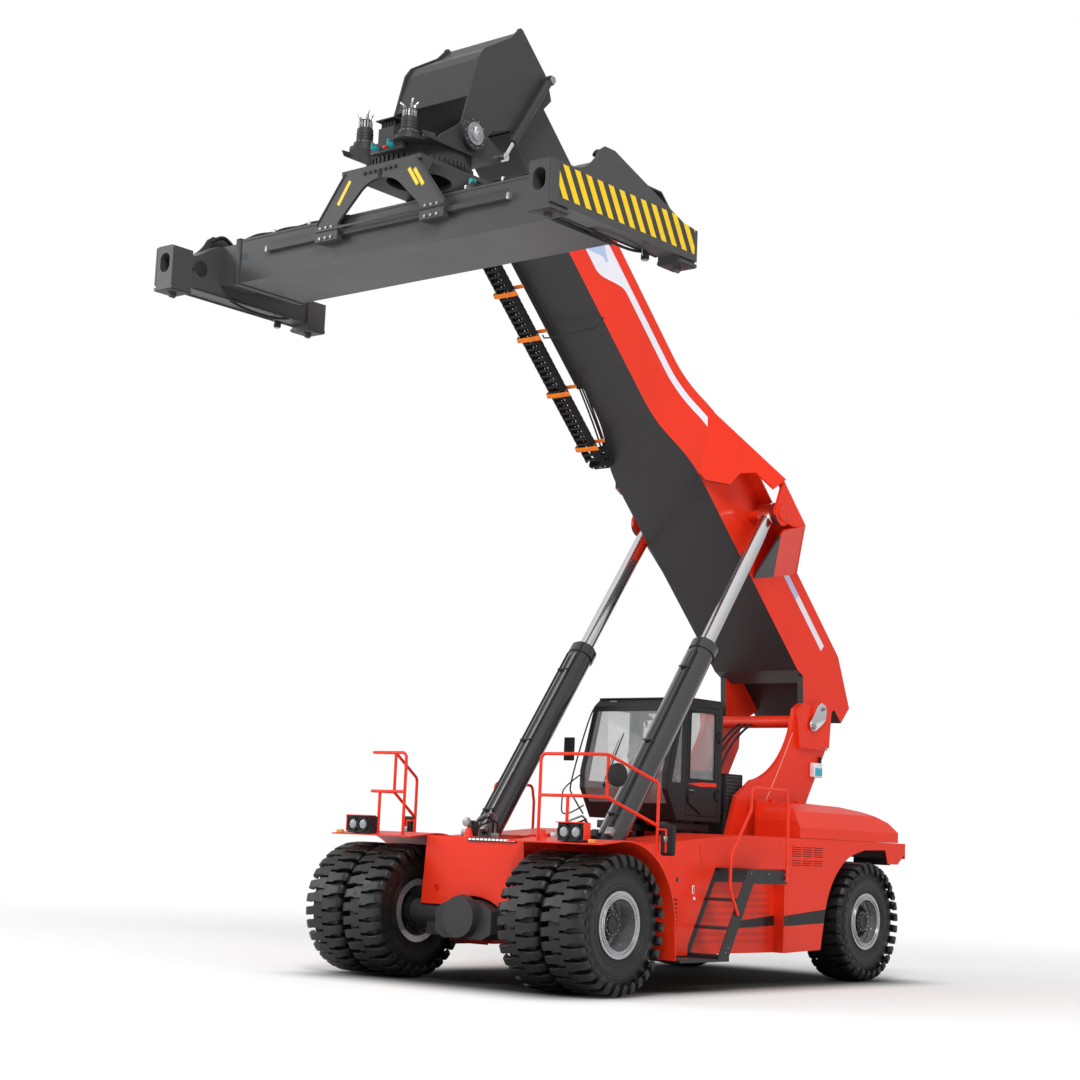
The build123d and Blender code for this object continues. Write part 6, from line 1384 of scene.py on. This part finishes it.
def add_end_details():
    """Corner trim, plate holes painted black as shade, guide bow, rail, work light, trunk and lock cylinder
    on both end beams.
    """
    for side, sign, body in (("left", 1, "left_end"), ("right", -1, "right_end")):
        frame_x = sign * 2.9265
        light_x, lock_x, ridge_x = sign * 2.90, sign * 2.93, sign * 3.060
        parts = []
        for end in (-1, 1):
            y = end * 1.13
            top = 0.600 if end < 0 else 0.450
            parts.append(plate("cap", (frame_x - 0.135, slew.y + y - 0.150, tips + top),
                               (frame_x + 0.115, slew.y + y + 0.150, tips + top + 0.012), 0.004,
                               "spreader"))
            parts.append(round_bar("nut", at_slew(frame_x, y, top + 0.008),
                                   at_slew(frame_x, y, top + 0.045), 0.034, 6, 0.004, "steel"))
            parts.append(plate("foot", (frame_x - 0.150, slew.y + y - 0.148, tips + 0.060),
                               (frame_x + 0.150, slew.y + y + 0.148, tips + 0.074), 0.004, "hub"))
            for k in (-1, 1):
                parts.append(plate("gusset", (frame_x + k * 0.110 - 0.008, slew.y + y - 0.146, tips + 0.10),
                                   (frame_x + k * 0.110 + 0.008, slew.y + y + 0.146, tips + 0.20), 0.003,
                                   "spreader"))
        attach(joined(f"{side}_corner_trim", parts), body)
        inner = sign * 2.795
        # painted shade: matt black discs stand for the shade inside the plate's holes
        hole = round_bar(f"{side}_plate_hole", at_slew(inner + sign * 0.01, -0.82, 0.42),
                         at_slew(inner - sign * 0.006, -0.82, 0.42), 0.095, 36, 0.002, "matt")
        small = round_bar("small", at_slew(inner + sign * 0.01, -0.95, 0.38),
                          at_slew(inner - sign * 0.006, -0.95, 0.38), 0.022, 18, 0.001, "matt")
        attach(joined(f"{side}_plate_hole_shades", [hole, small]), body)
        bow = tube(f"{side}_guide_bow",
                   [at_slew(inner + sign * 0.03, -0.30, 0.150), at_slew(inner + sign * 0.03, -0.15, 0.105),
                    at_slew(inner + sign * 0.03, 0.25, 0.085), at_slew(inner + sign * 0.03, 0.55, 0.105),
                    at_slew(inner + sign * 0.03, 0.70, 0.150)], 0.016, "matt")
        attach(bow, body)
        rail = plate(f"{side}_lower_rail", at_slew(inner - 0.012, -0.92, 0.138),
                     at_slew(inner + 0.012, 0.92, 0.160), 0.005, "hub")
        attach(rail, body)
        lamp_y = 0.52
        hanger = [round_bar("hook", at_slew(light_x, lamp_y, 0.150), at_slew(light_x, lamp_y, 0.055), 0.009,
                            10, 0.002, "steel"),
                  round_bar("arm", at_slew(light_x, lamp_y, 0.060), at_slew(light_x, lamp_y + 0.06, 0.045),
                            0.010, 10, 0.002, "steel"),
                  round_bar("body", at_slew(light_x, lamp_y + 0.055, 0.090),
                            at_slew(light_x, lamp_y + 0.055, 0.012), 0.046, 28, 0.010, "matt"),
                  round_bar("glass", at_slew(light_x, lamp_y + 0.055, 0.014),
                            at_slew(light_x, lamp_y + 0.055, 0.002), 0.036, 28, 0.006, "lens")]
        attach(joined(f"{side}_work_light", hanger), body)
        ridge = [at_slew(ridge_x, -0.50, 0.885), at_slew(ridge_x, -0.42, 0.962),
                 at_slew(ridge_x, -0.27, 0.962), at_slew(ridge_x, -0.18, 0.93)]
        trunk = tube(f"{side}_trunk",
                     [ridge[0] - Vector((sign * 0.06, 0, 0.02)), ridge[1] - Vector((sign * 0.10, 0, 0.01)),
                      ridge[2] - Vector((sign * 0.10, 0, 0.015)),
                      ridge[3] - Vector((sign * 0.12, -0.12, 0.17))], 0.024, "matt")
        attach(trunk, body)
        drum = [round_bar("drum", at_slew(lock_x, -0.60, 0.62), at_slew(lock_x, -0.42, 0.62), 0.055, 30,
                          0.008, "hub"),
                plate("base", at_slew(lock_x - 0.06, -0.60, 0.545), at_slew(lock_x + 0.06, -0.42, 0.575),
                      0.006, "hub")]
        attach(joined(f"{side}_lock_cylinder", drum), body)
        rod = round_bar(f"{side}_lock_rod", at_slew(lock_x, -0.98, 0.585), at_slew(lock_x, -0.60, 0.62),
                        0.014, 14, 0.002, "chrome")
        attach(rod, body)


# ---------------------------------------------------------------- cab
def add_cab_details():
    """Roof cap, mirror bow, wipers, lamps, fan, display, armrests, post trim, grille and the slide base."""
    front = station(2.670)
    fan_x, fan_z = -0.31, 3.345
    roof = plate("roof_cap", at(-0.71, 3.03, 3.548), at(0.71, 3.885, 3.575), 0.012, "plastic", 3)
    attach(roof, "cab")
    bar_points = [at(-0.72, 2.95, 3.44), at(-0.72, 2.86, 3.36), at(-0.72, 2.48, 2.39),
                  at(-0.72, 2.53, 2.29), at(-0.72, 2.79, 2.05)]
    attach(tube("right_mirror_bow", bar_points, 0.010, "matt"), "cab")
    brace = [at(-0.70, 2.70, 2.56), at(-0.72, 2.36, 2.38), at(-0.72, 2.34, 2.24), at(-0.72, 2.34, 1.95),
             at(-0.70, 2.77, 2.16)]
    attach(tube("right_mirror_brace", brace, 0.009, "matt"), "cab")
    head = plate("right_bow_mirror", at(-0.80, 2.43, 2.72), at(-0.64, 2.47, 3.02), 0.014, "matt", 3)
    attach(head, "cab")
    for number, x in enumerate((-0.30, 0.30)):
        pivot = Vector((x, front - 0.012, 2.42))
        tip = Vector((x + 0.18, station(2.735) - 0.012, 3.02))
        arm = [round_bar("pivot", pivot, pivot + Vector((0, 0.03, 0)), 0.022, 18, 0.004, "matt"),
               round_bar("arm", pivot, (pivot + tip) / 2 - Vector((0, 0.02, 0)), 0.006, 8, 0.001, "matt"),
               round_bar("upper", (pivot + tip) / 2 - Vector((0, 0.02, 0)), tip, 0.005, 8, 0.001, "matt")]
        blade = plate("blade", (-0.006, -0.008, -0.24), (0.006, 0.008, 0.24), 0.002, "matt", 1)
        blade.data.transform(Matrix.Translation((pivot + tip) / 2 + Vector((0.09, -0.008, 0.14)))
                             @ Matrix.Rotation(0.30, 4, "Y") @ Matrix.Rotation(-0.16, 4, "X"))
        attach(joined(f"wiper_{number}", arm + [blade]), "cab")
    lamps = []
    for x in (-0.45, 0.45):
        lamps.append(plate("case", at(x - 0.075, 3.00, 3.460), at(x + 0.075, 3.06, 3.545), 0.010, "matt",
                           2))
        lamps.append(plate("face", at(x - 0.060, 2.994, 3.472), at(x + 0.060, 3.002, 3.533), 0.003, "lens",
                           1))
    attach(joined("roof_lamps", lamps), "cab")
    hub = round_bar("hub", at(fan_x, 3.52, fan_z), at(fan_x, 3.60, fan_z), 0.030, 20, 0.005, "matt")
    blade = plate("blade", (0.02, -0.004, -0.030), (0.11, 0.004, 0.030), 0.002, "matt", 1)
    blades = copied(blade, "blades",
                    [Matrix.Translation(at(fan_x, 3.52, fan_z)) @ Matrix.Rotation(2 * pi * k / 5, 4, "Y")
                     @ Matrix.Rotation(0.35, 4, "X") for k in range(5)])
    cage = start("cage", "torus", major_radius=0.125, minor_radius=0.004, major_segments=36,
                 minor_segments=6, location=at(fan_x, 3.52, fan_z), rotation=(pi / 2, 0, 0))
    done(cage, "matt")
    mount = round_bar("mount", at(fan_x, 3.58, fan_z), at(fan_x, 3.60, 3.50), 0.009, 10, 0.002, "matt")
    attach(joined("cab_fan", [hub, blades, cage, mount]), "cab")
    screen = [plate("screen", at(0.26, 3.02, 2.66), at(0.46, 3.05, 2.82), 0.010, "matt", 2),
              plate("glow", at(0.275, 3.05, 2.675), at(0.445, 3.054, 2.805), 0.002, "screen", 1),
              round_bar("stalk", at(0.36, 3.035, 2.66), at(0.36, 3.035, 2.06), 0.014, 12, 0.002, "matt")]
    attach(joined("cab_display", screen), "cab")
    for side, sign in SIDES:
        rest_x = sign * 0.33
        rest = [plate("pad", at(rest_x - 0.045, 3.25, 2.66), at(rest_x + 0.045, 3.60, 2.71), 0.018, "chair",
                      3),
                plate("post", at(rest_x - 0.02, 3.50, 2.45), at(rest_x + 0.02, 3.56, 2.67), 0.006, "chair"),
                round_bar("stick", at(rest_x, 3.25, 2.70), at(rest_x, 3.22, 2.82), 0.012, 14, 0.003,
                          "matt"),
                round_bar("knob", at(rest_x, 3.22, 2.80), at(rest_x, 3.21, 2.87), 0.024, 18, 0.010, "matt")]
        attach(joined(f"{side}_armrest", rest), "cab")
    points = [at(0.701, 2.675, 2.40), at(0.701, 2.68, 2.62), at(0.701, 2.92, 3.46)]
    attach(tube("left_front_post_trim", points, 0.010, "matt", smooth=False), "cab")
    ribs = [plate("rib", at(0.05 * k - 0.45, 3.871, 2.10), at(0.05 * k - 0.43, 3.876, 2.44), 0.002, "matt",
                  1) for k in range(19)]
    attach(joined("rear_grille", ribs), "cab")
    base = [plate("runner", at(x - 0.075, 2.90, 1.88), at(x + 0.075, 3.80, 1.98), 0.010, "hub")
            for x in (-0.5, 0.5)]
    base += [plate("ram", at(-0.05, 2.80, 1.86), at(0.05, 3.70, 1.94), 0.012, "hub"),
             round_bar("ram_rod", at(0, 2.30, 1.90), at(0, 2.82, 1.90), 0.020, 18, 0.003, "chrome")]
    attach(joined("cab_base", base), "cab")


def add_door_details():
    """Window pane, seal, red stripe, handle and the lower brace of the cab door."""
    pane = plate("door_pane", at(0.676, 3.154, 2.546), at(0.684, 3.706, 3.394), 0.002, "glass", 1)
    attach(pane, "cab_door")
    seal = [plate("seal", at(0.6995, 3.140, z), at(0.706, 3.720, z + 0.022), 0.003, "matt", 1)
            for z in (2.522, 3.396)]
    seal += [plate("seal", (0.6995, y, 2.53), (0.706, y + 0.020, 3.41), 0.003, "matt", 1)
             for y in (station(3.140), station(3.700))]
    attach(joined("door_seal", seal), "cab_door")
    stripe = sheet_metal("door_stripe",
                         [at(0.7002, a, z) for a, z in ((3.115, 2.478), (3.40, 2.450), (3.755, 2.462),
                                                        (3.755, 2.508), (3.42, 2.505))],
                         0.003, (1, 0, 0), "red")
    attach(stripe, "cab_door")
    handle = [plate("pocket", at(0.6995, 3.115, 2.36), at(0.708, 3.225, 2.43), 0.004, "matt"),
              round_bar("grip", at(0.722, 3.125, 2.395), at(0.722, 3.215, 2.395), 0.008, 12, 0.003,
                        "steel")]
    handle += [round_bar("leg", at(0.704, a, 2.395), at(0.722, a, 2.395), 0.006, 10, 0.001, "steel")
               for a in (3.13, 3.21)]
    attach(joined("door_handle", handle), "cab_door")
    brace = tube("door_brace", [at(0.712, 3.12, 2.34), at(0.712, 3.13, 2.24), at(0.712, 3.42, 2.10)], 0.012,
                 "matt", smooth=False)
    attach(brace, "cab_door")


def fill_out(pad):
    """Blows the pad up a little as cloth under pressure, no face further than the cap."""
    voxel, pressure, last_frame, cap = 0.012, 4.0, 20, 0.022
    remesh = pad.modifiers.new("even_faces", "REMESH")
    remesh.mode = "VOXEL"
    remesh.voxel_size = voxel
    activate(pad)
    bpy.ops.object.modifier_apply(modifier=remesh.name)
    flat = [vertex.co.copy() for vertex in pad.data.vertices]
    cloth = pad.modifiers.new("filling", "CLOTH")
    cloth.settings.use_pressure = True
    cloth.settings.uniform_pressure_force = pressure
    cloth.settings.effector_weights.gravity = 0.0
    cloth.point_cache.frame_start = 1
    cloth.point_cache.frame_end = last_frame
    for step in range(1, last_frame + 1):
        bpy.context.scene.frame_set(step)
    activate(pad)
    bpy.ops.object.modifier_apply(modifier=cloth.name)
    bpy.context.scene.frame_set(1)
    for vertex, was in zip(pad.data.vertices, flat):
        moved = vertex.co - was
        if moved.length > cap:
            vertex.co = was + moved * (cap / moved.length)


def add_seat():
    """Seat cushion and back filled out by pressure, then stitched seams, a headrest and the belt."""
    for name, low, high in (("seat_cushion", (-0.235, 3.145, 2.432), (0.235, 3.595, 2.548)),
                            ("seat_back", (-0.225, 3.535, 2.565), (0.225, 3.635, 3.160))):
        pad = plate(name, at(low[0], low[1], low[2]), at(high[0], high[1], high[2]), 0.03, "cloth", 3)
        fill_out(pad)
        done(pad, "cloth", 60)
        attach(pad, "cab")
    for number, x in enumerate((-0.12, 0.12)):
        points = [at(x, 3.13, 2.50), at(x, 3.16, 2.568), at(x, 3.36, 2.574), at(x, 3.56, 2.566)]
        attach(tube(f"cushion_seam_{number}", points, 0.004, "chair"), "cab")
    head = plate("seat_headrest", at(-0.13, 3.57, 3.18), at(0.13, 3.65, 3.34), 0.035, "cloth", 4)
    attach(head, "cab")
    belt = plate("seat_belt_buckle", at(0.245, 3.50, 2.50), at(0.275, 3.55, 2.60), 0.006, "orange", 2)
    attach(belt, "cab")


def add_hoses():
    """The three hoses that rise from the engine to the tower's cross tube."""
    bend = Vector(at(0, 5.080, 3.180))
    cross_tube = Vector(at(0, 5.590, 3.440))
    run = (cross_tube - bend).normalized()
    for number, x in enumerate((-0.160, -0.060, 0.040)):
        points = [at(x, 4.700, 2.1203), at(x, 4.700, 2.620), (x, *bend.yz),
                  (x, *(cross_tube - run * 0.0853).yz)]
        hose = tube(f"tower_hose_{number}", points, 0.017, "hose")
        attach(hose, "chassis")
        if number == 0:
            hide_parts("tower_hoses")
        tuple(points[0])


# ---------------------------------------------------------------- the scene, camera and hoses first
bpy.ops.object.select_all(action="DESELECT")
add_camera()
add_hoses()
add_stage()
add_tyres()
add_wheel_nuts()
add_front()
add_body_marks()
add_stair_treads()
add_tower()
add_cylinder_details()
add_foot_pipes()
add_boom_details()
add_head_details()
add_rotator_details()
add_beam_details()
add_end_details()
add_cab_details()
add_door_details()
add_seat()
